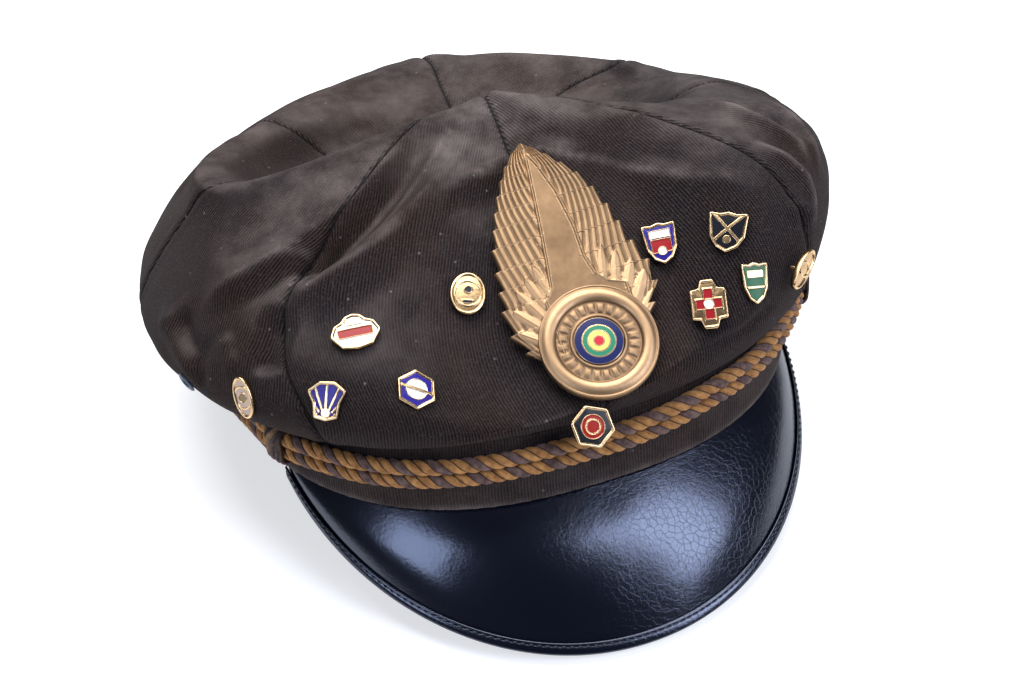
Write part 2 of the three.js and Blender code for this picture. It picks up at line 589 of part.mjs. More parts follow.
// Side button: a domed head on a shank, over the ends of the ropes
function makeButton(name, side) {
  const turn = rad(side * BUTTON.angle);
  const foot = GAP;
  const headFoot = foot + 2 * CORD.radius + 2 * GAP;
  const profile = [
    [0, foot], [BUTTON.shankRadius, foot], [BUTTON.shankRadius, headFoot], [BUTTON.radius - 0.6, headFoot],
    [BUTTON.radius, headFoot + 0.7], [BUTTON.radius * 0.8, headFoot + 2],
    [BUTTON.radius * 0.45, headFoot + 2.7], [0, headFoot + BUTTON.headHeight],
  ].map(([x, y]) => new THREE.Vector2(x, y));
  const geometry = toGeometry(toSolid(new THREE.LatheGeometry(profile, 14).rotateX(Math.PI / 2)));
  const z = polar(turn, 1, 0).normalize();
  const y = vec(0, 0, 1);
  const origin = polar(turn, bandRadius(turn), cordHeight(side * BUTTON.angle));
  addPiece(name, placeOn(geometry, { origin, x: y.clone().cross(z), y, z }), finishes.brass);
}

// Tips of the feathers down each side of the badge, x and y from its foot
const FEATHERS = {
  right: [[7.5, 78], [11, 74], [14.5, 70.5], [19.5, 58], [22.3, 44.5], [25, 37.5], [25.3, 30.5], [22, 24]],
  left: [[-7, 77.5], [-12.5, 68], [-15.5, 62.5], [-18.5, 54], [-20, 46], [-22.3, 35], [-22.5, 27],
    [-20, 21]],
};
const SHAFT = [[2, 80], [6, 66.6], [7.2, 54], [6.8, 44], [9, 34], [-5, 34], [-4.6, 44], [-2.8, 54],
  [-0.8, 66.6]];

// Badge: a feathered plume with a ringed disc near its foot, standing on posts through the cloth
function makeBadge() {
  const toPoints = (pairs) => pairs.map(([x, y]) => new THREE.Vector2(x, y));
  const toothed = (tips) => tips.flatMap(([x, y]) => [[x - Math.sign(x) * BADGE.tooth, y + 0.4], [x, y]]);
  const [right, left] = [toothed(FEATHERS.right).reverse(), toothed(FEATHERS.left)];
  const outline = toPoints([...right, [1, badgeLength], ...left]);
  const slab = (points, low, high) => new THREE.ExtrudeGeometry(new THREE.Shape(points),
    { depth: high - low, bevelEnabled: false }).translate(0, 0, low);
  const disc = (radius, low, high, sides) =>
    rod(radius, low, high, sides).translate(BADGE.discX, BADGE.discY, 0);
  const back = -BADGE.plate - BADGE.relief;
  const ring = toSolid(disc(BADGE.discRadius, back, 0, 32))
    .subtract(toSolid(disc(BADGE.discRadius - BADGE.ringWidth, -0.7, 1, 28)));
  const dial = toSolid(disc(BADGE.dialRadius, -1, -0.2, 24))
    .subtract(toSolid(disc(BADGE.enamelRadius + GAP, -0.9, 1, 20)));
  let solid = join(slab(outline, back, -BADGE.relief), slab(toPoints(SHAFT), -BADGE.relief - 0.3, 0));
  solid = solid.subtract(toSolid(disc(BADGE.discRadius - 1, -BADGE.relief, 1, 32))).add(ring).add(dial);
  const cuts = BADGE.postHeights.map((height) => {
    const origin = badgeFoot.clone().addScaledVector(badgeFrame.x, BADGE.discX)
      .addScaledVector(badgeFrame.y, height);
    const offsets = circleOffsets(badgeFrame, PIN.clutchRadius, 8);
    const inside = clothLimits(origin, badgeFrame.z, offsets).inside - GAP;
    const along = (geometry) => geometry.translate(BADGE.discX, height, 0);
    solid = solid.add(toSolid(along(rod(1, inside - 0.5, back + 0.5, 6))))
      .add(toSolid(along(rod(PIN.clutchRadius, inside - PIN.clutch, inside, 8))));
    return placeOn(along(rod(1 + GAP, inside, back, 8)), badgeFrame);
  });
  addPiece('badge', placeOn(toGeometry(solid), badgeFrame), finishes.brass);
  const enamel = disc(BADGE.enamelRadius, -0.9 + GAP, -0.1, 20);
  addPiece('badge_enamel', placeOn(enamel, badgeFrame), finishes.enamel);
  return cuts;
}

makeBand();
makePeak();
makeBinding();
makeRope('cord_upper', 1);
makeRope('cord_lower', -1);
makeKnot('keeper_knot_right', -1);
makeKnot('keeper_knot_left', 1);
makeButton('side_button_right', -1);
makeButton('side_button_left', 1);
const cutters = [
  ...makeBadge(),
  ...Object.entries(PINS).map(([name, pin]) => makePin(name, pin)),
  makeEyelet(),
];
for (const gore of gores) {
  const solid = cutters.reduce((left, cutter) => left.subtract(toSolid(cutter)), toSolid(gore.geometry));
  addPiece(gore.name, toGeometry(solid), finishes.cloth);
}

// Tip the cap back until the peak's edge and the back of the band touch z = 0, and centre it
cap.rotation.x = -Math.atan2(-restPoint().z, BAND.halfLength - restPoint().y);
function restPoint() {
  const edge = peakPoint(0, 1);
  const normal = peakNormal(0, 1);
  const out = peakPoint(0, 1).sub(peakPoint(0, 0.98)).normalize();
  const far = BINDING.clear + BINDING.wall;
  return edge.addScaledVector(out, far).addScaledVector(normal, -PEAK.thickness - far);
}
cap.updateMatrixWorld(true);
const box = new THREE.Box3().setFromObject(cap, true);
const centre = box.getCenter(vec(0, 0, 0));
const object = new THREE.Group();
cap.position.set(-centre.x, -centre.y, -box.min.z);
object.add(cap);

export default object;
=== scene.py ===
# %% [markdown]
# # A soft motorcycle cap, rebuilt as a lesson
# The cap lies on a table: a crown of eight cloth gores that has slumped over its band, a patent
# leather visor, a doubled cord, a brass feather badge and a scatter of small enamelled pins.
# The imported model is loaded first. It gives the true place and size of every part, and each fine
# piece made here stands for one of its plain parts.

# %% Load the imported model
import bpy
import numpy as np
from mathutils import Matrix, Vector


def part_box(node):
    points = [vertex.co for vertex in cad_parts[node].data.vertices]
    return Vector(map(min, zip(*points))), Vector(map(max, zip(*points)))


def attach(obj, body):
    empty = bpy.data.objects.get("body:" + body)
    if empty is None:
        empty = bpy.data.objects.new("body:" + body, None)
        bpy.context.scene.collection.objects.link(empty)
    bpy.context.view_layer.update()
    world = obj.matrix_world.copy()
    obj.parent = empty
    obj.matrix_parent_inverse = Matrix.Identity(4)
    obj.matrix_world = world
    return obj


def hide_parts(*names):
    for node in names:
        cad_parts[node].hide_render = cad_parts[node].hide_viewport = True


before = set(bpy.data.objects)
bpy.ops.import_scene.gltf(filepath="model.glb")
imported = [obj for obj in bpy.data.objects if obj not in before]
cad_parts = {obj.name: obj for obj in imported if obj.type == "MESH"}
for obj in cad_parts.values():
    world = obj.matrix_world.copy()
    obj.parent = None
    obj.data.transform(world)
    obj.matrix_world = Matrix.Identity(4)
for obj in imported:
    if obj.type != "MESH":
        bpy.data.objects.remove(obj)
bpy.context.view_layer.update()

print("parts in the packed model:", len(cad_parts))

# %% [markdown]
# A hat is drawn most simply as if it stood level, with the rim of its band in the plane z = 0
# and its front towards -Y. The real cap rests on the visor's tip and the back of the band, so
# the level drawing is tipped back by a few degrees and lifted. The lift is read from the packed
# band, whose lowest corner is the back of the rim.

# %% Level drawing to the resting cap
TILT = np.radians(10.2704)
BAND_HALF_WIDTH, BAND_HALF_LENGTH, BAND_SQUARENESS, BAND_HEIGHT, BAND_WALL = 91.0, 95.0, 2.43, 25.7, 3.0
band_low, band_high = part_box("band")
turn_back = np.array([[1, 0, 0], [0, np.cos(TILT), np.sin(TILT)], [0, -np.sin(TILT), np.cos(TILT)]])
rim_corner, top_corner = (turn_back @ np.array([0, BAND_HALF_LENGTH, z]) for z in (0, BAND_HEIGHT))
rest_shift = np.array([(band_low.x + band_high.x) * 500, band_high.y * 1000 - top_corner[1],
                       band_low.z * 1000 - rim_corner[2]])


def to_rest(points):
    """Level millimetres to resting metres: turned about X by the tilt, then shifted."""
    return (points @ turn_back.T + rest_shift) / 1000


def to_level(points):
    """Resting metres back to level millimetres, the other way round."""
    return (np.asarray(points) * 1000 - rest_shift) @ turn_back


print("the cap is lifted by", np.round(rest_shift, 2), "mm")

# %% [markdown]
# Every new surface is a grid of points worked out with numpy. A patch is one such grid, and it
# may close on itself sideways, like a tube. A piece joins its patches into one mesh, gives it a
# UV map in millimetres where a pattern follows the surface, and carries any extra numbers that
# its finish needs, such as how worn a spot is.

# %% Patches and pieces
def patch(points, wrap=False, uv=None, caps=False, **values):
    """A grid of points (rows, columns, 3); wrap joins the last column to the first."""
    return dict(points=np.asarray(points, float), wrap=wrap, uv=uv, caps=caps, values=values)


def grid_faces(rows, columns, wrap):
    """Quads between neighbours: corner (r, c) has the number r * columns + c."""
    across = columns if wrap else columns - 1
    r, c = np.meshgrid(np.arange(rows - 1), np.arange(across), indexing="ij")
    corners = np.stack([np.stack([r, c], -1), np.stack([r, c + 1], -1),
                        np.stack([r + 1, c + 1], -1), np.stack([r + 1, c], -1)], 2)
    corners = corners.reshape(-1, 4, 2)
    return corners[..., 0] * columns + corners[..., 1] % columns, corners


def carried_values(part, key):
    """A patch's extra numbers spread over its grid, one row for each point."""
    value = part["values"][key]
    rows, columns = part["points"].shape[:2]
    return np.broadcast_to(value, (rows, columns, *np.shape(value)[2:])).reshape(rows * columns, -1)

# %% Meshes from patches
def make_piece(name, patches, finish, node, weld=False):
    """One mesh from several patches, resting on the table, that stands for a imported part."""
    points, faces, uvs, start = [], [], [], 0
    for part in patches:
        grid = part["points"]
        rows, columns = grid.shape[:2]
        quads, corners = grid_faces(rows, columns, part["wrap"])
        uv = part["uv"] if part["uv"] is not None else np.zeros((rows, columns + 1, 2))
        uvs.append(uv[corners[..., 0], corners[..., 1]].reshape(-1, 2))
        faces += (quads + start).tolist()
        if part["caps"]:
            ends = np.arange(columns)
            faces += [(ends[::-1] + start).tolist(), (ends + start + (rows - 1) * columns).tolist()]
            uvs.append(np.zeros((2 * columns, 2)))
        points.append(grid.reshape(-1, 3))
        start += rows * columns
    mesh = bpy.data.meshes.new(name)
    mesh.from_pydata(to_rest(np.concatenate(points)).tolist(), [], faces)
    cloth_map = mesh.uv_layers.new(name="cloth").data
    cloth_map.foreach_set("uv", np.concatenate(uvs).ravel().astype(np.float32))
    for key in patches[0]["values"]:
        flat = np.concatenate([carried_values(part, key) for part in patches])
        colour = flat.shape[1] == 4
        layer = mesh.attributes.new(key, "FLOAT_COLOR" if colour else "FLOAT", "POINT")
        layer.data.foreach_set("color" if colour else "value", flat.ravel().astype(np.float32))
    mesh.polygons.foreach_set("use_smooth", np.ones(len(mesh.polygons), bool))
    mesh.materials.append(finish)
    if weld:
        weld_mesh(mesh)
    mesh.validate()
    piece = bpy.data.objects.new(name, mesh)
    bpy.context.scene.collection.objects.link(piece)
    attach(piece, "root")
    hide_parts(node)
    print(f"{name}: {len(mesh.polygons)} faces")
    return piece


def weld_mesh(mesh):
    """Points that coincide, as at a pole, become one, and faces without area go."""
    import bmesh
    work = bmesh.new()
    work.from_mesh(mesh)
    bmesh.ops.remove_doubles(work, verts=work.verts, dist=2e-6)
    bmesh.ops.dissolve_degenerate(work, edges=work.edges, dist=1e-6)
    bmesh.ops.recalc_face_normals(work, faces=work.faces)
    work.to_mesh(mesh)
    work.free()


def thicken(piece, thickness):
    """Gives a sheet its thickness inwards, away from its front."""
    solid = piece.modifiers.new("thickness", "SOLIDIFY")
    solid.thickness, solid.offset = thickness / 1000, -1
    solid.use_even_offset = False

# %% [markdown]
# Finishes are built from nodes. One helper adds a node with its settings and its inputs, where an
# input is either a number, a colour or another node's output. The kinds that come again and again
# get a short name each. Colours are given as sRGB hex values, and one function turns them
# to the linear values that the shader works in.

# %% Node and colour helpers
def linear(hex_code):
    """sRGB hex to linear RGBA: values up to 0.04045 over 12.92, the rest ((v + 0.055) / 1.055)^2.4."""
    srgb = np.array([int(hex_code[k:k + 2], 16) for k in (1, 3, 5)]) / 255
    rgb = np.where(srgb <= 0.04045, srgb / 12.92, ((srgb + 0.055) / 1.055) ** 2.4)
    return (*rgb, 1.0)


def add_node(tree, kind, inputs=None, **settings):
    """A node with its settings; each input is a plain value or another node's output socket."""
    node = tree.nodes.new("ShaderNode" + kind)
    for key, value in settings.items():
        setattr(node, key, value)
    for key, value in (inputs or {}).items():
        if isinstance(value, bpy.types.NodeSocket):
            tree.links.new(value, node.inputs[key])
        else:
            node.inputs[key].default_value = value
    return node


def maths(tree, operation, *inputs):
    """One sum: MULTIPLY_ADD is a b + c, the others take one or two inputs."""
    return add_node(tree, "Math", dict(enumerate(inputs)), operation=operation).outputs[0]


def ramp(tree, value, low, high, start=0.0, end=1.0, **settings):
    """The value's way from low to high carried over to the way from start to end."""
    inputs = {"Value": value, "From Min": low, "From Max": high, "To Min": start, "To Max": end}
    return add_node(tree, "MapRange", inputs, **settings).outputs[0]


def blend(tree, share, first, second):
    """Colour that goes from the first to the second; each is a hex code or an output."""
    first, second = (linear(c) if isinstance(c, str) else c for c in (first, second))
    return add_node(tree, "Mix", {0: share, 6: first, 7: second}, data_type="RGBA").outputs[2]

# %% Textures and numbers that a piece carries
def noise(tree, place, scale, detail, rough=0.5):
    """Soft random value; 1 / scale is the size of its spots in the place's units."""
    inputs = {"Vector": place, "Scale": scale, "Detail": detail, "Roughness": rough}
    return add_node(tree, "TexNoise", inputs).outputs["Fac"]


def cell_edges(tree, place, scale):
    """Distance to the nearest border between Voronoi cells 1 / scale wide."""
    inputs = {"Vector": place, "Scale": scale}
    return add_node(tree, "TexVoronoi", inputs, feature="DISTANCE_TO_EDGE").outputs["Distance"]


def carried(tree, name, output="Fac"):
    """A number or colour that the piece carries at its points."""
    return add_node(tree, "Attribute", attribute_name=name).outputs[output]


def object_space(tree):
    """Place on the piece, in metres from the object's origin."""
    return add_node(tree, "TexCoord").outputs["Object"]


def new_finish(name):
    """An empty node material and its tree."""
    finish = bpy.data.materials.new(name)
    finish.use_nodes = True
    finish.node_tree.nodes.clear()
    return finish, finish.node_tree


def shade(tree, height, strength, distance, inputs):
    """Closes a finish: bump from the height, one Principled shader, and the output."""
    bump = add_node(tree, "Bump", {"Height": height, "Strength": strength, "Distance": distance})
    shader = add_node(tree, "BsdfPrincipled", {**inputs, "Normal": bump.outputs["Normal"]})
    add_node(tree, "OutputMaterial", {"Surface": shader.outputs[0]})

# %% [markdown]
# ** Wool whipcord** is a worsted twill with steep, narrow ribs, here about 1 mm apart, and each
# gore is cut with the ribs running straight up its middle, so that they meet in chevrons at the
# seams. Between the ribs the ground is painted near-black as shade, and the rib tops are lighter
# where years of wear have polished them. Wear also rubs the cloth to a greyish pink in places and
# leaves lint on the nap; the same greyish pink is painted as light where the cloth faces up and on
# the front crest, and as a highlight along the fold ridges. The ribs are drawn on the cloth's own
# UV map, which is in millimetres, and the slow changes of colour on the object's own space. Wool
# scatters light at grazing angles, which the sheen gives.

# %% Whipcord finish
RIB_PITCH = 0.95
YARN_PITCH = 0.7
STITCH_PITCH = 2.5


def make_whipcord():
    """Ribs sin(2 pi u / pitch) in u mm across, yarns the same with v added, then wear, lint, seams."""
    finish, tree = new_finish("wool_whipcord")
    uv = add_node(tree, "UVMap", uv_map="cloth").outputs["UV"]
    space = object_space(tree)
    edge = carried(tree, "edge")
    across, along = add_node(tree, "SeparateXYZ", {"Vector": uv}).outputs[:2]
    swayed = maths(tree, "MULTIPLY_ADD", noise(tree, uv, 0.05, 2.0), 1.8, across)
    phase = maths(tree, "MULTIPLY", swayed, 2 * np.pi / RIB_PITCH)
    rib = ramp(tree, maths(tree, "SINE", phase), -0.85, 0.75, interpolation_type="SMOOTHSTEP")
    yarn = maths(tree, "SINE", maths(tree, "MULTIPLY_ADD", along, 2 * np.pi / YARN_PITCH, phase))
    fuzz = noise(tree, space, 1500.0, 3.0, 0.6)
    tinted = ramp(tree, noise(tree, space, 18.0, 4.0, 0.6), 0.38, 0.62)
    # Ground is the colour between the ribs, darkened there as painted shade; top is the rib's crest.
    ground = blend(tree, tinted, "#0c0a0c", "#130d0c")
    top = blend(tree, tinted, "#272224", "#31231e")
    colour = blend(tree, rib, ground, top)
    colour = blend(tree, ramp(tree, fuzz, 0.52, 0.72, end=0.5), colour, "#4c413c")
    # The carried worn number is partly real rubbing and partly painted light: light on upward faces and
    # the front crest, and a highlight along the fold ridges.
    rubbing = ramp(tree, noise(tree, space, 75.0, 4.0, 0.65), 0.35, 0.7, start=0.15)
    colour = blend(tree, maths(tree, "MULTIPLY", carried(tree, "worn"), rubbing), colour, "#7c716d")
    dots = add_node(tree, "TexVoronoi", {"Vector": space, "Scale": 230.0, "Randomness": 1.0})
    some = maths(tree, "GREATER_THAN", dots.outputs["Color"], 0.74)
    lint = maths(tree, "MULTIPLY", ramp(tree, dots.outputs["Distance"], 0.04, 0.12, 0.6, 0.0), some)
    colour = blend(tree, lint, colour, "#7d7778")
    line = ramp(tree, edge, 0.1, 0.6, 0.85, 0.0)
    lean = maths(tree, "MULTIPLY_ADD", edge, 0.5, carried(tree, "stitch"))
    beat = maths(tree, "SINE", maths(tree, "MULTIPLY", lean, 2 * np.pi / STITCH_PITCH))
    marks = maths(tree, "MULTIPLY", ramp(tree, beat, 0.1, 0.6), ramp(tree, edge, 0.8, 1.3, 0.5, 0.0))
    sewn = maths(tree, "MAXIMUM", marks, line)
    colour = blend(tree, sewn, colour, "#070608")
    weave = maths(tree, "MULTIPLY_ADD", yarn, 0.2, rib)
    sunk = maths(tree, "MULTIPLY_ADD", sewn, -1.2, weave)
    nap = maths(tree, "MULTIPLY_ADD", fuzz, 1.0, sunk)
    shade(tree, nap, 0.8, 0.0003, {
        "Base Color": colour, "Roughness": 0.92, "Sheen Weight": 0.04, "Sheen Roughness": 0.5,
        "Sheen Tint": linear("#d8d2d4"), "Specular IOR Level": 0.08})
    return finish


whipcord = make_whipcord()

# %% [markdown]
# **Patent leather** is leather under a thick coat of lacquer. It mirrors the lamps in broad soft
# patches, and with age the lacquer cracks into a net of cells two or three millimetres wide. The
# net comes from the borders of Voronoi cells, bent a little by noise, and only shows as a fine
# relief in the coat. The leather under it is nearly black with a cold tone.

# %% Patent leather finish
def make_patent():
    """Near-black coat with two sizes of cracks, stronger towards the side that is handled."""
    finish, tree = new_finish("patent_leather")
    space = object_space(tree)
    bend = add_node(tree, "TexNoise", {"Vector": space, "Scale": 300.0, "Detail": 3.0})
    push = add_node(tree, "VectorMath", {0: bend.outputs["Color"], "Scale": 0.0012}, operation="SCALE")
    bent = add_node(tree, "VectorMath", {0: space, 1: push.outputs[0]}, operation="ADD").outputs[0]
    crack = ramp(tree, cell_edges(tree, bent, 480.0), 0.0, 0.035, 0.8, 0.0)
    hair = ramp(tree, cell_edges(tree, bent, 1150.0), 0.0, 0.08, 0.3, 0.0)
    patchy = ramp(tree, noise(tree, space, 28.0, 2.0), 0.4, 0.62, start=0.3)
    sides = add_node(tree, "SeparateXYZ", {"Vector": space})
    handled = ramp(tree, sides.outputs["X"], -0.04, 0.03, start=0.2)
    crazed = maths(tree, "MULTIPLY", patchy, handled)
    net = maths(tree, "MULTIPLY", maths(tree, "MAXIMUM", crack, hair), crazed)
    soft = maths(tree, "MULTIPLY_ADD", noise(tree, space, 160.0, 2.0), 1.6,
                 noise(tree, space, 1100.0, 3.0))
    height = maths(tree, "MULTIPLY_ADD", net, -0.7, soft)
    shade(tree, height, 0.5, 0.00007, {
        "Base Color": blend(tree, net, "#020512", "#010206"),
        "Roughness": ramp(tree, net, 0.0, 1.0, 0.2, 0.27),
        "Specular IOR Level": 0.9, "Specular Tint": linear("#dde6ff")})
    return finish


patent = make_patent()

# %% [markdown]
# **The crown's form.** Eight gores meet in eight seams, and the seams are where a pattern maker
# would take the measures, so the crown is one smooth surface with two parameters: the turn round
# the head and the share of the way from the band up over the crest and down into the hollow top.
# Each seam row below gives the turn, reach and height of the points that its profile runs
# through. Between the rows the measures follow a closed Catmull-Rom curve, and along each profile
# a cubic Hermite curve joins the points. A cloth simulation could slump the gores as well, but
# these folds are particular ones, and a table holds them where they are.

# %% Seam measures, front first and round by the wearer's left
# under, then turn, reach, height of belly, shoulder, crest and hollow; degrees and millimetres
SEAM_ROWS = np.array([
    [30, 0, 100.5, 37, -1, 69.5, 56.5, -4, 9, 82, 0, 13, 69],
    [30, 0, 108.5, 47, 4.5, 86, 75.5, -3, 21, 82, -14, 17, 67],
    [25, 4.5, 112, 40.5, 6.5, 98, 55, 1.5, 72, 59.5, -10, 46, 50],
    [24, -2, 109, 28, -9, 95, 48, 1.5, 62, 43, -13, 32, 43],
    [23.5, -4, 111, 30, -9, 92.5, 47.5, -7.5, 61, 46, -11, 23, 44.5],
    [25.5, -3, 107.5, 33, -6.5, 89.5, 50, -2, 73, 52, 5, 43, 42],
    [23, -6, 111, 29.5, -6.5, 93.5, 59, 0, 80, 69, 0, 46, 50],
    [29, -0.5, 113, 38.5, -13, 91, 60, -25, 22, 79.5, 7, 15, 62],
])
SEAM_NAMES = ["front", "front_left", "left", "back_left", "back", "back_right", "right", "front_right"]
KNOTS = np.array([0, 0.09, 0.2, 0.45, 0.7, 0.86, 1])
TOP_CENTRE = (5, 8)
TIPS = (5, 17, 47)
EIGHTH = np.pi / 4

# %% Curves, frames and places round the head
def smoothstep(x, low, high):
    """0 below low, 1 above high, and 3f^2 - 2f^3 of the share f between them."""
    f = np.clip((x - low) / (high - low), 0, 1)
    return f * f * (3 - 2 * f)


def unit(v):
    """Vectors scaled to length one."""
    return v / np.linalg.norm(v, axis=-1, keepdims=True)


def band_radius(turn, grow=0.0):
    """The band's oval: the radius r where (r sin/width)^n + (r cos/length)^n = 1, grown outwards."""
    across = np.abs(np.sin(turn)) / (BAND_HALF_WIDTH + grow)
    along = np.abs(np.cos(turn)) / (BAND_HALF_LENGTH + grow)
    return (across ** BAND_SQUARENESS + along ** BAND_SQUARENESS) ** (-1 / BAND_SQUARENESS)


def polar(turn, reach, z, centre=(0, 0)):
    """Turn from the front and reach to a point: x = reach sin, y = -reach cos."""
    turn, reach, z = np.broadcast_arrays(turn, reach, z)
    return np.stack([centre[0] + reach * np.sin(turn), centre[1] - reach * np.cos(turn), z], -1)


def seam_values(turn):
    """The thirteen measures at any turn, by Catmull-Rom through the four nearest rows."""
    place = (turn / EIGHTH) % 8
    row = np.floor(place).astype(int)
    f = (place - row)[..., None]
    a, b, c, d = (SEAM_ROWS[(row + k) % 8] for k in (-1, 0, 1, 2))
    return 0.5 * (2 * b + (c - a) * f + (2 * a - 5 * b + 4 * c - d) * f ** 2
                  + (3 * b - a - 3 * c + d) * f ** 3)

# %% The smooth crown
def smooth_crown(turn, along):
    """Cubic Hermite curve h00 P0 + h10 m0 + h01 P1 + h11 m1 between the profile's points."""
    turn, along = np.broadcast_arrays(np.asarray(turn, float), np.asarray(along, float))
    v = seam_values(turn)
    foot = band_radius(turn, 0.5)
    belly = turn + np.radians(v[..., 1])
    P = np.stack([
        polar(turn, foot, BAND_HEIGHT + 0.3),
        polar(turn + np.radians(v[..., 1]) / 2, foot + 0.62 * (v[..., 2] - foot), v[..., 0]),
        polar(belly, v[..., 2], v[..., 3]),
        polar(turn + np.radians(v[..., 4]), v[..., 5], v[..., 6]),
        polar(turn + np.radians(v[..., 7]), v[..., 8], v[..., 9], TOP_CENTRE),
        polar(turn + np.radians(v[..., 10]), v[..., 11], v[..., 12], TIPS),
        polar(turn, 0.15, TIPS[2], TIPS),
    ])
    gaps = np.diff(KNOTS).reshape(-1, *([1] * (P.ndim - 1)))
    chords = np.diff(P, axis=0) / gaps
    inner = (chords[:-1] * gaps[1:] + chords[1:] * gaps[:-1]) / (gaps[1:] + gaps[:-1])
    slopes = np.concatenate([chords[:1], inner, chords[-1:]])
    k = np.clip(np.searchsorted(KNOTS, along, side="right") - 1, 0, 5)
    h = (KNOTS[k + 1] - KNOTS[k])[..., None]
    s = np.clip((along - KNOTS[k])[..., None] / h, 0, 1)
    pick = lambda table, i: np.take_along_axis(table, i[None, ..., None], 0)[0]
    return (pick(P, k) * (2 * s ** 3 - 3 * s ** 2 + 1) + pick(slopes, k) * (s ** 3 - 2 * s ** 2 + s) * h
            + pick(P, k + 1) * (3 * s ** 2 - 2 * s ** 3) + pick(slopes, k + 1) * (s ** 3 - s ** 2) * h)


def smooth_normal(turn, along):
    """Cross product of the small steps across and up."""
    e = 1e-3
    across = smooth_crown(turn + e, along) - smooth_crown(turn - e, along)
    up = smooth_crown(turn, np.minimum(along + e, 1)) - smooth_crown(turn, np.maximum(along - e, 0))
    return unit(np.cross(across, up))


print("crest height in front:", np.round(smooth_crown(0.0, 0.7)[2], 1), "mm above the rim")

# %% [markdown]
# **Folds.** Each fold follows a path over the smooth crown and lifts the cloth along its normal,
# or sinks it. Across the path the lift is a mix of a round bell and a crisp peak, and it may fall
# away faster on one side than on the other, as a fold that leans over does. The first ones are
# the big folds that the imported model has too. The finer ones after them crease only the cloth
# here. Behind the badge the cloth is pressed flat, as the badge's posts pull it.

# %% Fold paths: height, width left of the path, width right of it, crispness, then the path
FOLDS = [
    (6, 17, 8, 0.8, [[-21, 0.664], [-28, 0.63], [-32.5, 0.585], [-35, 0.55], [-37, 0.53],
                     [-39, 0.503], [-42, 0.477], [-45, 0.45]]),
    (-9, 9, 12, 0.2, [[-27, 0.655], [-32, 0.6], [-36, 0.557], [-39.5, 0.53], [-43, 0.503],
                      [-46, 0.477]]),
    (5, 8, 15, 0.7, [[-42, 0.52], [-47, 0.512], [-50.5, 0.497], [-54, 0.47], [-60, 0.423],
                     [-66, 0.376]]),
    (-3.5, 8, 8, 0.2, [[-46, 0.45], [-46, 0.403], [-48, 0.35], [-49, 0.31]]),
    (3, 6, 12, 0.9, [[-34, 0.575], [-25, 0.575], [-17, 0.584], [-2, 0.592], [13, 0.585],
                     [25, 0.55], [31, 0.51], [37, 0.445], [40, 0.39]]),
    (3, 6, 9, 0.8, [[69, 0.61], [60, 0.53], [57, 0.48], [56.5, 0.43], [57, 0.38], [54, 0.315]]),
    (3.5, 7, 9, 0.8, [[74, 0.51], [68, 0.45], [64, 0.39], [59, 0.342], [56, 0.282]]),
    (2.5, 5, 7, 0.8, [[49, 0.46], [50, 0.396], [51, 0.335], [49, 0.289], [45, 0.242]]),
]
BADGE_TIP, BADGE_FOOT = np.array([2.0, -33, 83]), np.array([1.0, -104, 38.3])
badge_y = unit(BADGE_TIP - BADGE_FOOT)
badge_z = unit(np.cross([0.99, 0, 0.13], badge_y))
badge_axes = np.stack([np.cross(badge_y, badge_z), badge_y, badge_z])
PRESS_DEPTH, PRESS_HALF, PRESS_FADE = 4.6, 25, 37

# %% Laying the folds
def lay_fold(height, left, right, crisp, path, steps=5):
    """A fold's path of turns and shares, filled in and laid on the smooth crown, and the normals."""
    stops = np.array(path, float)
    at = np.linspace(0, len(stops) - 1, (len(stops) - 1) * steps + 1)
    turn, along = (np.interp(at, np.arange(len(stops)), stops[:, c]) for c in (0, 1))
    turn = np.radians(turn)
    return height, left, right, crisp, smooth_crown(turn, along), smooth_normal(turn, along)


def near_path(points, chain):
    """Distance from each point to a chain of steps, the share along it and the step's number."""
    start, step = chain[:-1], np.diff(chain, axis=0)
    offset = points[..., None, :] - start
    f = np.clip((offset * step).sum(-1) / (step ** 2).sum(-1), 0, 1)
    distance = np.linalg.norm(offset - f[..., None] * step, axis=-1)
    best = distance.argmin(-1)[..., None]
    share = (best + np.take_along_axis(f, best, -1)) / len(start)
    return np.take_along_axis(distance, best, -1)[..., 0], share[..., 0], best[..., 0]


def fold_lift(points, fold):
    """height ((1 - c)(1 - x^2)^2 + c ((1 - sqrt(x^2 + 0.12^2)) / 0.88)^2), x = distance / width on
    that side, c the crispness, times smoothsteps over the first and last 0.3 of the path."""
    height, left, right, crisp, chain, out = fold
    distance, share, step = near_path(points, chain)
    side = (np.cross(np.diff(chain, axis=0)[step], points - chain[step]) * out[step]).sum(-1)
    x = np.minimum(distance / np.where(side > 0, left, right), 1)
    peak = (np.clip(1 - np.sqrt(x * x + 0.0144), 0, 1) / 0.88) ** 2
    shape = (1 - crisp) * (1 - x * x) ** 2 + crisp * peak
    return height * shape * smoothstep(share, 0, 0.3) * smoothstep(1 - share, 0, 0.3)


def badge_press(points):
    """How far the cloth stands out past the press depth behind the badge's face, within its reach."""
    x, y, z = np.moveaxis((points - BADGE_FOOT) @ badge_axes.T, -1, 0)
    beside = 1 - smoothstep(np.abs(x), PRESS_HALF, PRESS_HALF + PRESS_FADE)
    along = smoothstep(y, -11, 2) * (1 - smoothstep(y, 86, 99))
    return np.maximum(z + PRESS_DEPTH, 0) * beside * along


laid_folds = [lay_fold(*fold) for fold in FOLDS]
print("folds laid on the crown:", len(laid_folds))

# %% [markdown]
# Cloth that has been worn for years never lies quite smooth between its folds. A few fine creases
# and a slow swell of about a quarter of a millimetre break up the light. The swell is a sum of
# sine waves in space with fixed directions, so it runs on from gore to gore.

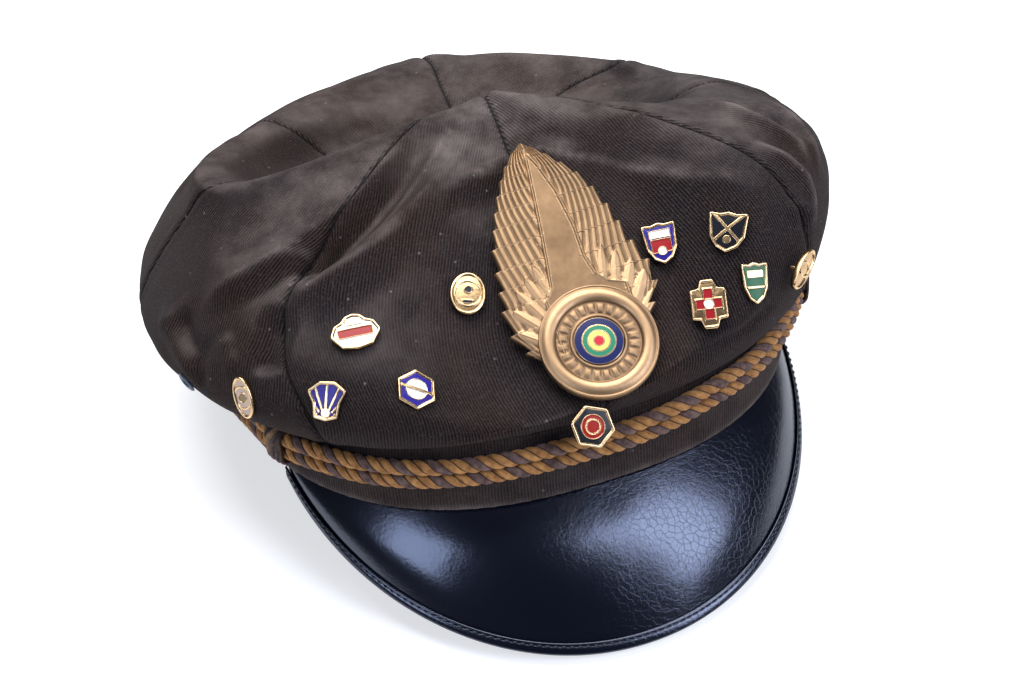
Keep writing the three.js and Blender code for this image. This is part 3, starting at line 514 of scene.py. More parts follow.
# %% Fine creases and swell
CREASES = [
    (1.6, 5, [[70, 0.58], [63, 0.483], [60, 0.409]]),
    (2.2, 7, [[-78, 0.335], [-72, 0.302], [-67, 0.268], [-63, 0.23]]),
    (-1.8, 6, [[-71, 0.36], [-67, 0.322], [-62, 0.29]]),
    (1.6, 5, [[-57, 0.37], [-56.5, 0.33], [-55, 0.29]]),
    (-1.4, 5, [[-30, 0.2], [-20, 0.165], [-12, 0.15]]),
    (1.2, 5, [[-34, 0.3], [-26, 0.24], [-18, 0.22]]),
    (-1.2, 4, [[16, 0.2], [26, 0.17], [36, 0.18]]),
    (1.0, 6, [[-66, 0.4], [-72, 0.33], [-76, 0.26]]),
    (-1.2, 5, [[-60, 0.36], [-63, 0.28], [-64, 0.2]]),
    (1.0, 5, [[40, 0.34], [46, 0.3], [50, 0.22]]),
    (-1.0, 6, [[100, 0.5], [118, 0.42], [130, 0.36]]),
    (1.2, 7, [[110, 0.62], [128, 0.52], [140, 0.46]]),
    (1.4, 7, [[170, 0.5], [182, 0.4], [190, 0.3]]),
    (-1.4, 7, [[205, 0.55], [216, 0.45], [224, 0.34]]),
    (1.2, 7, [[232, 0.5], [245, 0.42], [255, 0.36]]),
    (-1.2, 6, [[150, 0.4], [158, 0.3], [160, 0.22]]),
]
laid_creases = [lay_fold(height, width, width, 0.5, path) for height, width, path in CREASES]
waves = np.random.default_rng(11)
WAVE_WAYS = unit(waves.normal(size=(14, 3)))
WAVE_LENGTHS = waves.uniform(16, 46, 14)
WAVE_STARTS = waves.uniform(0, 2 * np.pi, 14)


def swell(points):
    """Mean of fourteen sines, sin(2 pi (point . way) / length + start)."""
    return np.sin(2 * np.pi * (points @ WAVE_WAYS.T) / WAVE_LENGTHS + WAVE_STARTS).mean(-1)


def crown(turn, along, fine=True):
    """Cloth's outside: the smooth form plus folds, creases and swell along its normal, pressed."""
    point, out = smooth_crown(turn, along), smooth_normal(turn, along)
    lift = sum(fold_lift(point, fold) for fold in laid_folds)
    if fine:
        lift = lift + sum(fold_lift(point, fold) for fold in laid_creases) + 0.9 * swell(point)
    lift = lift * smoothstep(along, 0.02, 0.14)
    point = point + out * lift[..., None]
    return point - badge_z * badge_press(point)[..., None]


# %% [markdown]
# ** Gores.** Each gore is a grid of its own, packed more closely towards its two seams. The cloth
# is drawn in along a seam by the thread and puffs up a little beside it. The UV map measures the
# cloth in millimetres: u across from the gore's middle line and v along it, so the whipcord's
# ribs run parallel to the middle line and are cut off at a slant by the seams, which gives the
# chevrons. The cloth is drawn lighter where it faces up and on the front crest, which is painted
# light from above, and along the ridges, which is rubbing wear and a painted highlight.

# %% Gore grids
GORE_COLUMNS, GORE_ROWS = 97, 157


def seam_share():
    """Columns from -1 to 1, as 1 - (1 - t)^1.35 on each side, so that they crowd at the seams."""
    t = np.linspace(-1, 1, GORE_COLUMNS)
    return np.sign(t) * (1 - (1 - np.abs(t)) ** 1.35)


def arc(points, axis):
    """Length walked along one axis of a grid, starting at 0."""
    step = np.linalg.norm(np.diff(points, axis=axis), axis=-1)
    pad = [(0, 0)] * step.ndim
    pad[axis] = (1, 0)
    return np.pad(np.cumsum(step, axis), pad)


def ridge_wear_and_highlight(points):
    """Wear and painted highlight exp(-(d / 1.1)^2) at distance d from each ridge, less on high ones,
    faded at both ends.
    """
    wear = np.zeros(points.shape[:-1])
    for height, _, _, _, chain, _ in laid_folds:
        if height > 0:
            distance, share, _ = near_path(points, chain)
            ends = smoothstep(share, 0, 0.25) * smoothstep(1 - share, 0, 0.25)
            wear = np.maximum(wear, np.exp(-(distance / 1.1) ** 2) * ends * min(3 / height, 1))
    return wear


def gore_patch(index):
    """One gore: the crown's surface sunk by 0.75 mm at its seams and raised 0.3 mm beside them."""
    across = seam_share()
    turn = (index + 0.5 + across / 2) * EIGHTH
    along = np.linspace(0, 1, GORE_ROWS) ** 1.08
    turn, along = np.meshgrid(turn, along)
    points = crown(turn, along)
    u = arc(points, 1)
    middle = slice(GORE_COLUMNS // 2, GORE_COLUMNS // 2 + 1)
    u = u - u[:, middle]
    v = np.broadcast_to(arc(points, 0)[:, middle], u.shape)
    edge = np.minimum(u - u[:, :1], u[:, -1:] - u)
    out = unit(np.cross(np.gradient(points, axis=1), np.gradient(points, axis=0) + 1e-9))
    dip = -0.75 * np.exp(-(edge / 0.8) ** 2) + 0.3 * np.exp(-((edge - 3.2) / 2.0) ** 2)
    dip = dip * smoothstep(along, 0.0, 0.05) * (1 - smoothstep(along, 0.9, 1))
    points = points + out * dip[..., None]
    # The worn number: rubbing wear and a painted highlight along the ridges, and painted light on the
    # front crest and wherever the cloth faces up.
    crest = smoothstep(along, 0.57, 0.63) * (1 - smoothstep(along, 0.74, 0.82))
    painted_crest_light = crest * smoothstep(np.cos(turn), 0.6, 0.9)
    painted_top_light = smoothstep(out[..., 2], 0.8, 1.0)
    worn = 0.5 * ridge_wear_and_highlight(smooth_crown(turn, along)) + 0.3 * painted_crest_light + 0.42 * painted_top_light
    return patch(points, uv=np.stack([u, v], -1), worn=worn, edge=edge, stitch=v)


for index, seam in enumerate(SEAM_NAMES):
    node = f"gore_{seam}_to_{SEAM_NAMES[(index + 1) % 8]}"
    thicken(make_piece(f"cloth_{node}", [gore_patch(index)], whipcord, node), 1.4)

# %% [markdown]
# **Band.** A ring of the same cloth over stiff board. Its section is a thin upright strip with
# round edges, carried round the oval. The ribs run straight up, and the lower edge, which takes
# all the knocks, is rubbed grey and a little frayed.

# %% Band
def ring_sections(profile, count):
    """Profile points (grow, z) carried round the band's oval: rows go along the profile."""
    grow, z = np.asarray(profile, float).T
    turn = np.linspace(0, 2 * np.pi, count, endpoint=False)
    turn, grow_grid = np.meshgrid(turn, grow)
    return polar(turn, band_radius(turn, grow_grid), z[:, None]), turn


def round_strip(outer, inner, low, high, bend=0.8, steps=5):
    """Closed section of an upright strip from the outside's foot: up, over, down and under."""
    a = np.linspace(0, np.pi / 2, steps)
    up = [(outer, z) for z in np.linspace(low + bend, high - bend, 26)]
    over = [(outer - bend + bend * np.cos(t), high - bend + bend * np.sin(t)) for t in a[1:]]
    back = [(inner + bend - bend * np.sin(t), high - bend + bend * np.cos(t)) for t in a]
    down = [(inner, z) for z in np.linspace(high - bend, low + bend, 8)[1:]]
    under = [(inner + bend - bend * np.cos(t), low + bend - bend * np.sin(t)) for t in a[1:]]
    foot = [(outer - bend + bend * np.sin(t), low + bend - bend * np.cos(t)) for t in a]
    return up + over + back + down + under + foot[:-1] + [up[0]]


band_profile = round_strip(0.0, -BAND_WALL, 0.0, BAND_HEIGHT)
band_points, band_turn = ring_sections(band_profile, 640)
round_way = arc(np.concatenate([band_points[:1], band_points[:1, :1]], 1), 1)[0]
band_rise = np.array([z for _, z in band_profile])
fray = 0.16 * np.sin(band_turn * 173) * np.sin(band_turn * 61 + 1) * np.exp(-band_rise[:, None] / 1.2)
band_points[..., 2] += fray
band_uv = np.stack(np.meshgrid(round_way, band_rise), -1)
band_worn = np.broadcast_to((0.6 * np.exp(-(band_rise / 1.7) ** 2) + 0.12)[:, None], band_turn.shape)
make_piece("band_cloth", [patch(band_points, wrap=True, uv=band_uv, worn=band_worn,
                                edge=np.full((1, 1), 30.0), stitch=np.zeros((1, 1)))],
           whipcord, "band", weld=True)

# %% [markdown]
# **Visor.** A stiff sheet of patent leather that springs from under the band and slopes down to a
# round edge, with a slight rise across its middle. Seen from the side it is nearly flat, so a
# ruled sheet with a sine rise describes it well. Its thickness comes from a Solidify modifier.

# %% Visor sheet
PEAK_WIDTH, PEAK_DEPTH, PEAK_CHORD, PEAK_SLOPE = 84.9, 99.1, -35.15, np.radians(22)
PEAK_END, BOUND_EDGE, GAP = np.radians(84), 1.25, 0.3


def signed_power(value, power):
    """|value|^power with the sign of the value; below 1 it squares an oval's corners."""
    return np.sign(value) * np.abs(value) ** power


def peak_edge(phi, shrink):
    """Outer edge: a superellipse in the sloping plane, pulled in by shrink."""
    across = (PEAK_WIDTH - shrink) * signed_power(np.sin(phi), 2 / 2.03)
    depth = (PEAK_DEPTH - shrink) * signed_power(np.cos(phi), 2 / 2.03)
    return np.stack([across, PEAK_CHORD - depth * np.cos(PEAK_SLOPE),
                     -depth * np.sin(PEAK_SLOPE) - GAP], -1)


def peak(phi, v):
    """Straight from the band's rim to the outer edge, lifted by 4 sin(pi v) along the slope's normal."""
    phi, v = np.broadcast_arrays(np.asarray(phi, float), np.asarray(v, float))
    turn = phi * 0.75
    inner = polar(turn, band_radius(turn, -BAND_WALL), -GAP)
    outer = peak_edge(phi, BOUND_EDGE)
    span = np.minimum(np.linalg.norm(outer - inner, axis=-1) / (PEAK_DEPTH / 2), 1)
    lift = 4 * np.sin(np.pi * v) * span
    out = unit(np.stack([np.sin(turn), -np.cos(turn), np.ones_like(turn)], -1))
    return inner + (outer - inner) * v[..., None] + out * lift[..., None]


def peak_normal(phi, v):
    """Cross product of the small steps out and along the edge."""
    e = 1e-3
    side = peak(phi + e, v) - peak(phi - e, v)
    out = peak(phi, np.minimum(v + e, 1)) - peak(phi, np.maximum(v - e, 0))
    return unit(np.cross(out, side))


phi_grid, v_grid = np.meshgrid(np.linspace(PEAK_END, -PEAK_END, 241), np.linspace(0, 1, 71))
peak_points = peak(phi_grid, v_grid)
ripple = 0.10 * swell(peak_points * 1.3) * smoothstep(v_grid, 0, 0.2)
ripple = ripple * (1 - smoothstep(v_grid, 0.92, 1))
peak_points = peak_points + peak_normal(phi_grid, v_grid) * ripple[..., None]
visor = make_piece("visor_leather", [patch(peak_points)], patent, "visor")
thicken(visor, 2.0)

# %% [markdown]
# **Binding.** A narrow strip of the same leather is folded over the visor's edge and sewn down.
# The thread lies in a small groove, in and out of the leather. The section is carried along the
# edge in the frame of the sheet: outwards, and along its normal.

# %% Binding
binding_phi = np.linspace(-PEAK_END, PEAK_END, 361)
edge_line, edge_up = peak(binding_phi, 1.0), peak_normal(binding_phi, 1.0)
edge_out = unit(edge_line - peak(binding_phi, 0.98))


def binding_section():
    """Closed U: round the outside of the fold, in over the lip, and back along the inside."""
    a = np.linspace(np.pi / 2, -np.pi / 2, 17)
    nose = np.stack([0.35 + 0.9 * np.cos(a), -1.0 + 2.2 * np.sin(a)], -1)
    top = [(-3.0, 0.4), (-2.9, 0.74), (-2.6, 0.98), (-2.25, 1.06), (-1.95, 0.98), (-1.75, 0.85),
           (-1.55, 0.98), (-1.2, 1.12), (-0.7, 1.16), (-0.3, 1.2)]
    under = [(w, -2 - n) for w, n in top[::-1]]
    inside = [(-2.4, -2.35), (0.3, -2.35), (0.45, -2.1), (0.45, 0.1), (0.3, 0.35), (-2.4, 0.35)]
    return np.array(top + nose.tolist() + under + inside + top[:1])


section = binding_section()
binding_points = edge_line + edge_out * section[:, None, :1] + edge_up * section[:, None, 1:]
make_piece("visor_edge_binding", [patch(binding_points)], patent, "visor_binding",
           weld=True)


def seam_stitches(pitch=2.4, thick=0.26):
    """Thread along the groove at the height 0.98 + 0.3 cos(2 pi s / pitch) over the sheet."""
    phi = np.linspace(-PEAK_END + 0.02, PEAK_END - 0.02, 1900)
    line = peak(phi, 1.0)
    up, out = peak_normal(phi, 1.0), unit(line - peak(phi, 0.98))
    way = arc(line, 0)
    height = 0.98 + 0.3 * np.cos(2 * np.pi * way / pitch)
    core = line - 1.75 * out + height[:, None] * up
    a = np.linspace(0, 2 * np.pi, 8, endpoint=False)[:, None]
    ring = core[:, None] + thick * (np.cos(a) * out[:, None] + np.sin(a) * up[:, None])
    return patch(ring, wrap=True, caps=True)


make_piece("visor_seam_thread", [seam_stitches()], patent, "visor_binding")

# %% [markdown]
# **Cord.** Two ropes lie one above the other round the front of the band. Each is laid from three
# plies, two of gold-brown yarn and one of dark plum. A section across three touching circles
# is eased halfway towards one round, as wear has pressed them, and each ply shows four yarns. The
# section turns as it is carried along the path, once in 11 mm. A Screw or Array modifier could
# twist a short piece, but here the colours have to follow the plies round the head, so the sweep
# is computed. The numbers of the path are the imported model's own.

# %% Rope paths
ROPE_RADIUS, ROPE_LAY, YARNS = 2.3, 11.0, 12
KNOT_TURN, KNOT_LENGTH, BUTTON_TURN, HALF_SPACING, LOOP_RADIUS = 58, 6.5, 90, 2.45, 4.4
CORD_HEIGHTS = np.array([[-90, 14.2], [-50, 15.8], [0, 17.9], [28, 20.6], [48, 21], [70, 17.5],
                         [90, 14.2]])


def cord_height(degrees):
    """Heights in the table joined by 6f^5 - 15f^4 + 10f^3."""
    k = np.searchsorted(CORD_HEIGHTS[:, 0], degrees, side="right") - 1
    k = np.clip(k, 0, len(CORD_HEIGHTS) - 2)
    low, high = CORD_HEIGHTS[k], CORD_HEIGHTS[k + 1]
    f = np.clip((degrees - low[..., 0]) / (high[..., 0] - low[..., 0]), 0, 1)
    return low[..., 1] + (high[..., 1] - low[..., 1]) * f ** 3 * (f * (6 * f - 15) + 10)


def cord_path(degrees, rise):
    """On the band's oval, a rope's radius out from it, bulging by 1.5 mm in the keeper knots."""
    bulge = 1.5 * np.exp(-((np.abs(degrees) - KNOT_TURN) / 9) ** 2)
    turn = np.radians(degrees)
    return polar(turn, band_radius(turn, GAP + ROPE_RADIUS + bulge), cord_height(degrees) + rise)


def path_frames(path):
    """Tangent, out and up at each point: out is away from the head, up is tangent x out."""
    tangent = unit(np.gradient(path, axis=0))
    out = path * [1, 1, 0]
    out = unit(out - (out * tangent).sum(-1, keepdims=True) * tangent)
    return tangent, out, np.cross(tangent, out)


def even_path(path, count):
    """The same path with its points evenly spaced."""
    way = arc(path, 0)
    stops = np.linspace(0, way[-1], count)
    return np.stack([np.interp(stops, way, path[:, c]) for c in range(3)], -1), stops

# %% Rope surface
def rope_patch(side, rows=800, columns=96):
    """A ply's radius c cos a + sqrt(r^2 - c^2 sin^2 a), c = 2r / sqrt 3, eased and grooved."""
    degrees = np.linspace(-93.5, 93.5, 2000)
    spread = HALF_SPACING + (LOOP_RADIUS - HALF_SPACING) * smoothstep(np.abs(degrees), 66, 84)
    path, way = even_path(cord_path(degrees, side * spread), rows)
    tangent, out, up = path_frames(path)
    ply = ROPE_RADIUS / (1 + 2 / np.sqrt(3))
    angle = np.linspace(0, 2 * np.pi, columns, endpoint=False)
    near = (angle + np.pi / 3) % (2 * np.pi / 3) - np.pi / 3
    centre = 2 * ply / np.sqrt(3)
    lobed = centre * np.cos(near) + np.sqrt(np.maximum(ply ** 2 - (centre * np.sin(near)) ** 2, 0.02))
    yarns = (angle + np.pi / 3) / (2 * np.pi) * YARNS
    swelling = np.abs(np.sin(np.pi * yarns))
    radius = 0.45 * lobed + 0.55 * (ROPE_RADIUS + 0.12) - 0.12 * (1 - swelling ** 0.55)
    u, way = np.append(angle, 2 * np.pi) * ROPE_RADIUS, way[:, None]
    turned = angle + 2 * np.pi * way / ROPE_LAY
    reach = radius * (1 + 0.025 * np.sin(way * 1.7 + 5 * angle + side) + 0.02 * np.sin(way * 0.31))
    points = (path[:, None] + (reach * np.cos(turned))[..., None] * out[:, None]
              + (reach * np.sin(turned))[..., None] * up[:, None])
    dark = (np.abs(angle - 4 * np.pi / 3) < np.pi / 3 - 0.02).astype(float)[None]
    tone = np.random.default_rng(5 + side).uniform(0, 1, YARNS)[np.floor(yarns).astype(int) % YARNS]
    # The yarn tones and the slow sine are the cord's own uneven colour; the cos(1.5 near) term lightens
    # the middle of each ply and darkens its sides, a painted highlight and painted shade.
    tone = 0.6 * tone + 0.2 * np.sin(way * 0.21 + 2 * angle) + 0.5 * np.cos(1.5 * near)
    # Painted shade: dark between the yarns and in the valleys between the plies.
    valley = 0.6 * (1 - swelling) + 1.25 * smoothstep(np.abs(near), 0.74, 1.03)
    return patch(points, wrap=True, caps=True, uv=np.stack(np.meshgrid(u, way), -1), dark=dark,
                 valley=valley[None], tone=np.clip(tone, -0.5, 1.2))

# %% [markdown]
# Rayon cord catches the light along its threads. Fine lines run with each ply, and the gold is
# uneven, browner where it has been handled. The valleys between plies and the grooves between
# threads are darkened as painted shade, and each ply is painted lighter in its middle as a
# highlight. The same finish in darker colours serves the thread that is wound round the ropes,
# with painted shade where its windings part.

# %% Cord finishes
THREAD_PITCH = 0.38


def make_thread_finish(name, light, deep, other_light, other_deep):
    """Threads sin(2 pi (u - 0.45 v) / pitch), their tone and the dark ply from the piece's numbers."""
    finish, tree = new_finish(name)
    space = object_space(tree)
    uv = add_node(tree, "UVMap", uv_map="cloth").outputs["UV"]
    across, along = add_node(tree, "SeparateXYZ", {"Vector": uv}).outputs[:2]
    slip = maths(tree, "MULTIPLY_ADD", along, -0.45, across)
    wave = maths(tree, "SINE", maths(tree, "MULTIPLY", slip, 2 * np.pi / THREAD_PITCH))
    thread = ramp(tree, wave, -1.0, 1.0)
    worn = ramp(tree, noise(tree, space, 520.0, 4.0), 0.32, 0.68)
    mixed = maths(tree, "MULTIPLY_ADD", carried(tree, "tone"), 0.6, worn)
    main = blend(tree, maths(tree, "MULTIPLY", mixed, 0.62), deep, light)
    colour = blend(tree, carried(tree, "dark"), main, blend(tree, worn, other_deep, other_light))
    # Painted shade: the colour goes to dark brown in the ply valleys and in the grooves between threads.
    hollow = ramp(tree, carried(tree, "valley"), 0.5, 1.3, 0.0, 0.9)
    painted_groove_shade = maths(tree, "MAXIMUM", hollow, ramp(tree, thread, 0.0, 0.5, 0.45, 0.0))
    colour = blend(tree, painted_groove_shade, colour, "#2c170d")
    nap = maths(tree, "MULTIPLY_ADD", noise(tree, space, 1700.0, 3.0), 0.8, thread)
    shade(tree, nap, 0.7, 0.00018, {
        "Base Color": colour, "Roughness": 0.68, "Sheen Weight": 0.08, "Sheen Roughness": 0.4,
        "Specular IOR Level": 0.3})
    return finish


gold_cord = make_thread_finish("rayon_cord", "#d39a58", "#7c4a22", "#84695f", "#4a3535")
dark_thread = make_thread_finish("wound_thread", "#98774c", "#2b1c1b", "#8a4a60", "#45202c")
for place, side in (("upper", 1), ("lower", -1)):
    make_piece(f"rope_{place}", [rope_patch(side)], gold_cord, f"cord_{place}")

# %% [markdown]
# **Keeper knots.** Thick dark thread is wound round both ropes to hold them together. Its section
# is a rounded oblong a little larger than the two ropes. The three windings run at a slant and not
# quite evenly. One of them is of a paler thread, and the lower end is a plum red.

# %% Keeper knots
def knot_patch(side):
    """Oblong |cos a|^0.6, |sin a|^0.6 round both ropes; each slanting winding bulges by sqrt |sin|."""
    middle = cord_path(np.array([side * KNOT_TURN]), 0.0)[0]
    along = unit(np.diff(cord_path(side * KNOT_TURN + np.array([-1, 1]), 0.0), axis=0)[0])
    out = middle * [1, 1, 0]
    out = unit(out - out @ along * along)
    up = np.cross(along, out)
    angle = np.linspace(0, 2 * np.pi, 96, endpoint=False)
    t = np.linspace(0, 1, 81)[:, None]
    winding = 3 * t + 0.85 * np.sin(angle) + 0.2 * np.sin(2 * angle + 1) + 0.1 * np.sin(9 * t)
    grow = 0.25 + 1.0 * np.sqrt(np.abs(np.sin(np.pi * winding))) * (0.7 + 0.3 * np.sin(np.pi * t))
    none = np.zeros((1, len(angle)))
    grow = np.concatenate([none, grow, none, none])
    t = np.concatenate([none[:, :1], t, [[1.0], [0.0]]])
    across = (ROPE_RADIUS + 0.5 + grow) * signed_power(np.cos(angle), 0.6)
    height = (HALF_SPACING + ROPE_RADIUS + 0.5 + grow) * signed_power(np.sin(angle), 0.6)
    shift = (t - 0.5) * KNOT_LENGTH + 0 * angle
    points = middle + across[..., None] * out + height[..., None] * up + shift[..., None] * along
    uv = np.stack(np.meshgrid(np.linspace(0, 30, 97), t[:, 0] * KNOT_LENGTH), -1)[..., ::-1]
    low = smoothstep(-np.sin(angle) * np.sign(up[2]), 0.45, 0.7)[None]
    # Painted shade where the windings part.
    painted_winding_shade = 1.25 * (1.2 - grow)
    number = np.floor(np.concatenate([winding[:1], winding, winding[-1:], winding[:1]]))
    tone = np.where(number == (2 if side > 0 else 0), 0.7, -0.9)
    return patch(points, wrap=True, uv=uv, valley=painted_winding_shade, dark=low, tone=tone)


for name, side in (("right", -1), ("left", 1)):
    make_piece(f"keeper_winding_{name}", [knot_patch(side)], dark_thread, f"keeper_knot_{name}",
               weld=True)

# %% [markdown]
# **Brass.** The badge and the pins are brass that has darkened in its hollows and stayed bright
# where it is rubbed. Each piece carries that as a number, relief, from 0 in the hollows to 1 on
# the crests. Brass keeps its metallic reflection, so the colour also tints the highlights.

# %% Metal and enamel finishes
def make_metal(name, hollow, crest, rough, enamelled=False):
    """Metal from hollow to crest by relief + 0.7 noise; with enamel, glass and its paint over it."""
    finish, tree = new_finish(name)
    space = object_space(tree)
    cloud = noise(tree, space, 140.0, 5.0, 0.65)
    level = ramp(tree, maths(tree, "MULTIPLY_ADD", cloud, 0.7, carried(tree, "relief")), 0.2, 1.25)
    colour, metallic = blend(tree, level, hollow, crest), 1.0
    dull = ramp(tree, level, 0.0, 1.0, rough + 0.2, rough)
    if enamelled:
        glass = carried(tree, "glass")
        colour = blend(tree, glass, colour, carried(tree, "paint", "Color"))
        dull = ramp(tree, glass, 0.0, 1.0, rough, 0.28)
        metallic = maths(tree, "SUBTRACT", 1.0, glass)
    shade(tree, noise(tree, space, 900.0, 3.0), 0.25, 0.0001, {
        "Base Color": colour, "Metallic": metallic, "Roughness": dull,
        "Specular IOR Level": 0.2 if enamelled else 0.5})
    return finish


aged_brass = make_metal("aged_brass", "#4e3b2b", "#aa8b6a", 0.43)
pin_metal = make_metal("gilt_and_enamel", "#80603a", "#dcbc90", 0.26, enamelled=True)
dark_steel = make_metal("blued_steel", "#1d222c", "#4a5568", 0.35)

# %% [markdown]
# **Turned parts.** Side buttons, the eyelet, posts and clutches are profiles turned round an
# axis: a list of radius and height, from the middle of the foot outwards and over the top.

# %% Turning a profile
def turned(profile, origin, axes, count=48, **values):
    """origin + r cos a x + r sin a y + h z for every (r, h) of the profile."""
    r, h = np.asarray(profile, float).T
    a = np.linspace(0, 2 * np.pi, count, endpoint=False)
    points = (origin + (r[:, None] * np.cos(a))[..., None] * axes[0]
              + (r[:, None] * np.sin(a))[..., None] * axes[1] + h[:, None, None] * axes[2])
    return patch(points, wrap=True, **values)


def rounded_profile(corners, steps=4, bend=0.25):
    """Each corner of a profile becomes a small quadratic bow between points bend away from it."""
    corners = np.asarray(corners, float)
    way = np.diff(corners, axis=0)
    length = np.linalg.norm(way, axis=-1)
    way = way / length[:, None]
    reach = np.minimum(bend, 0.45 * np.minimum(length[:-1], length[1:]))[:, None, None]
    f = np.linspace(0, 1, steps)[None, :, None]
    middle = corners[1:-1, None]
    before, after = middle - way[:-1, None] * reach, middle + way[1:, None] * reach
    bows = before * (1 - f) ** 2 + 2 * middle * f * (1 - f) + after * f ** 2
    return np.concatenate([corners[:1], bows.reshape(-1, 2), corners[-1:]])

# %% Side studs
def button_patch(side):
    """A domed stud on a shank, square to the band over the ropes' ends."""
    turn = np.radians(side * BUTTON_TURN)
    z, y = polar(turn, 1.0, 0.0), np.array([0.0, 0, 1])
    origin = polar(turn, band_radius(turn), cord_height(np.array([side * BUTTON_TURN]))[0])
    profile = rounded_profile([(0, 0.3), (1.5, 0.3), (1.5, 5.5), (4.9, 5.5), (5.5, 6.1), (5.1, 6.9),
                               (4.5, 6.7), (4.0, 7.0), (2.4, 8.2), (0, 8.5)])
    return turned(profile, origin, [np.cross(y, z), y, z], relief=np.full((1, 1), 0.6))


for name, side in (("right", -1), ("left", 1)):
    make_piece(f"side_stud_{name}", [button_patch(side)], aged_brass, f"side_button_{name}",
               weld=True)

# %% Seats on the cloth, and the eyelet
def seat(degrees, along):
    """Frame on the cloth: z out of it, y towards the crown's top."""
    turn = np.radians(degrees)
    origin = crown(turn, along, fine=False)
    up = crown(turn, along + 0.02, fine=False) - crown(turn, max(along - 0.02, 0), fine=False)
    side = crown(turn + 0.02, along, fine=False) - crown(turn - 0.02, along, fine=False)
    z = unit(np.cross(side, up))
    y = unit(up - up @ z * z)
    return origin, np.stack([np.cross(y, z), y, z])


def packed_points(node):
    """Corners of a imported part, in level millimetres."""
    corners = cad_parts[node].data.vertices
    flat = np.empty(len(corners) * 3)
    corners.foreach_get("co", flat)
    return to_level(flat.reshape(-1, 3))


def packed_reach(node, origin, axis):
    """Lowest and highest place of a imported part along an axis."""
    along = (packed_points(node) - origin) @ axis
    return along.min(), along.max()


origin, axes = seat(-68.5, 0.19)
low, high = packed_reach("eyelet_right", origin, axes[2])
eyelet = rounded_profile([(1.5, low), (3.4, low), (3.4, low + 0.7), (2.1, low + 0.7),
                          (2.1, high - 0.7), (3.4, high - 0.7), (3.2, high - 0.2),
                          (2.4, high + 0.15), (1.5, high), (1.5, low)])
make_piece("vent_eyelet_right", [turned(eyelet, origin, axes, relief=np.full((1, 1), 0.5))],
           dark_steel, "eyelet_right", weld=True)
print("eyelet stands", round(high, 2), "mm off the cloth's smooth form")

# %% [markdown]
# **Pins.** Each small pin is a stamped plate with a raised gilt rim and glassy enamel poured
# between thin metal lines, held by a post and a clutch inside the cap. The plate is a grid in
# polar form: its outer line is the outline's radius at each angle, and the profile runs from the
# middle of the back, round the rim, to the middle of the face. The enamel's plain shapes are
# painted into an attribute of the same grid, and the metal lines between them stand up a little.
# Most pins lie on the cloth. The one in front leans out over the cord.

# %% Pin outlines and paint
def both_sides(half):
    """A right half from top to bottom, and its mirror image back up."""
    return half + [(-x, y) for x, y in half[::-1] if x > 0]


OUTLINES = {
    "hexagon": [(np.cos(a), np.sin(a)) for a in np.pi / 6 + np.arange(6) * np.pi / 3],
    "stepped": both_sides([(0, 1), (0.3, 0.9), (0.5, 0.62), (0.8, 0.45), (1, -0.1), (0.6, -0.8),
                           (0, -0.95)]),
    "shield": both_sides([(0, 0.95), (0.4, 0.85), (0.95, 0.9), (0.85, -0.25), (0.5, -0.75), (0, -1)]),
    "fan": both_sides([(0.4, 1), (1, 0.55), (0.7, -0.1), (0.6, -0.85), (0, -1)]),
    "cross": both_sides([(0.35, 1), (0.5, 0.65), (0.95, 0.6), (0.95, -0.6), (0.5, -0.65), (0.35, -1)]),
}
PIN_ANGLES = np.linspace(0, 2 * np.pi, 160, endpoint=False)

# %% Outlines and enamel shapes as numbers
def outline_radius(shape, half):
    """Distance from the middle to the outline at each angle: the nearest crossing of its sides."""
    if shape == "oval":
        return 1 / np.hypot(np.cos(PIN_ANGLES) / half[0], np.sin(PIN_ANGLES) / half[1])
    start = np.array(OUTLINES[shape]) * half
    step = np.roll(start, -1, 0) - start
    way = np.stack([np.cos(PIN_ANGLES), np.sin(PIN_ANGLES)], -1)[:, None]
    cross = lambda a, b: a[..., 0] * b[..., 1] - a[..., 1] * b[..., 0]
    down = cross(way, step)
    down = np.where(np.abs(down) < 1e-9, 1e-9, down)
    reach, share = cross(start, step) / down, cross(start, way) / down
    hit = (share > -1e-6) & (share < 1 + 1e-6) & (reach > 0)
    radius = np.where(hit, reach, np.inf).min(1)
    kernel = np.array([1, 2, 3, 2, 1]) / 9
    return np.convolve(np.concatenate([radius[-2:], radius, radius[:2]]), kernel, "valid")


def shape_distance(kind, numbers, x, y):
    """Signed distance, below 0 inside, to a box, disc, ring, slanted band or set of rays."""
    if kind == "box":
        x0, y0, x1, y1 = numbers
        return np.maximum(np.abs(x - (x0 + x1) / 2) - (x1 - x0) / 2,
                          np.abs(y - (y0 + y1) / 2) - (y1 - y0) / 2)
    if kind == "disc":
        return np.hypot(x - numbers[0], y - numbers[1]) - numbers[2]
    if kind == "ring":
        return np.abs(np.hypot(x - numbers[0], y - numbers[1]) - numbers[2]) - numbers[3]
    if kind == "slant":
        return np.abs(x * numbers[0] + y * numbers[1] - numbers[2]) - numbers[3]
    reach = np.hypot(x - numbers[0], y - numbers[1])
    spokes = np.arctan2(x - numbers[0], y - numbers[1]) * numbers[2]
    spoke = np.abs((spokes + 0.5) % 1 - 0.5) / numbers[2]
    return np.maximum(spoke * reach - numbers[3], numbers[4] - reach)

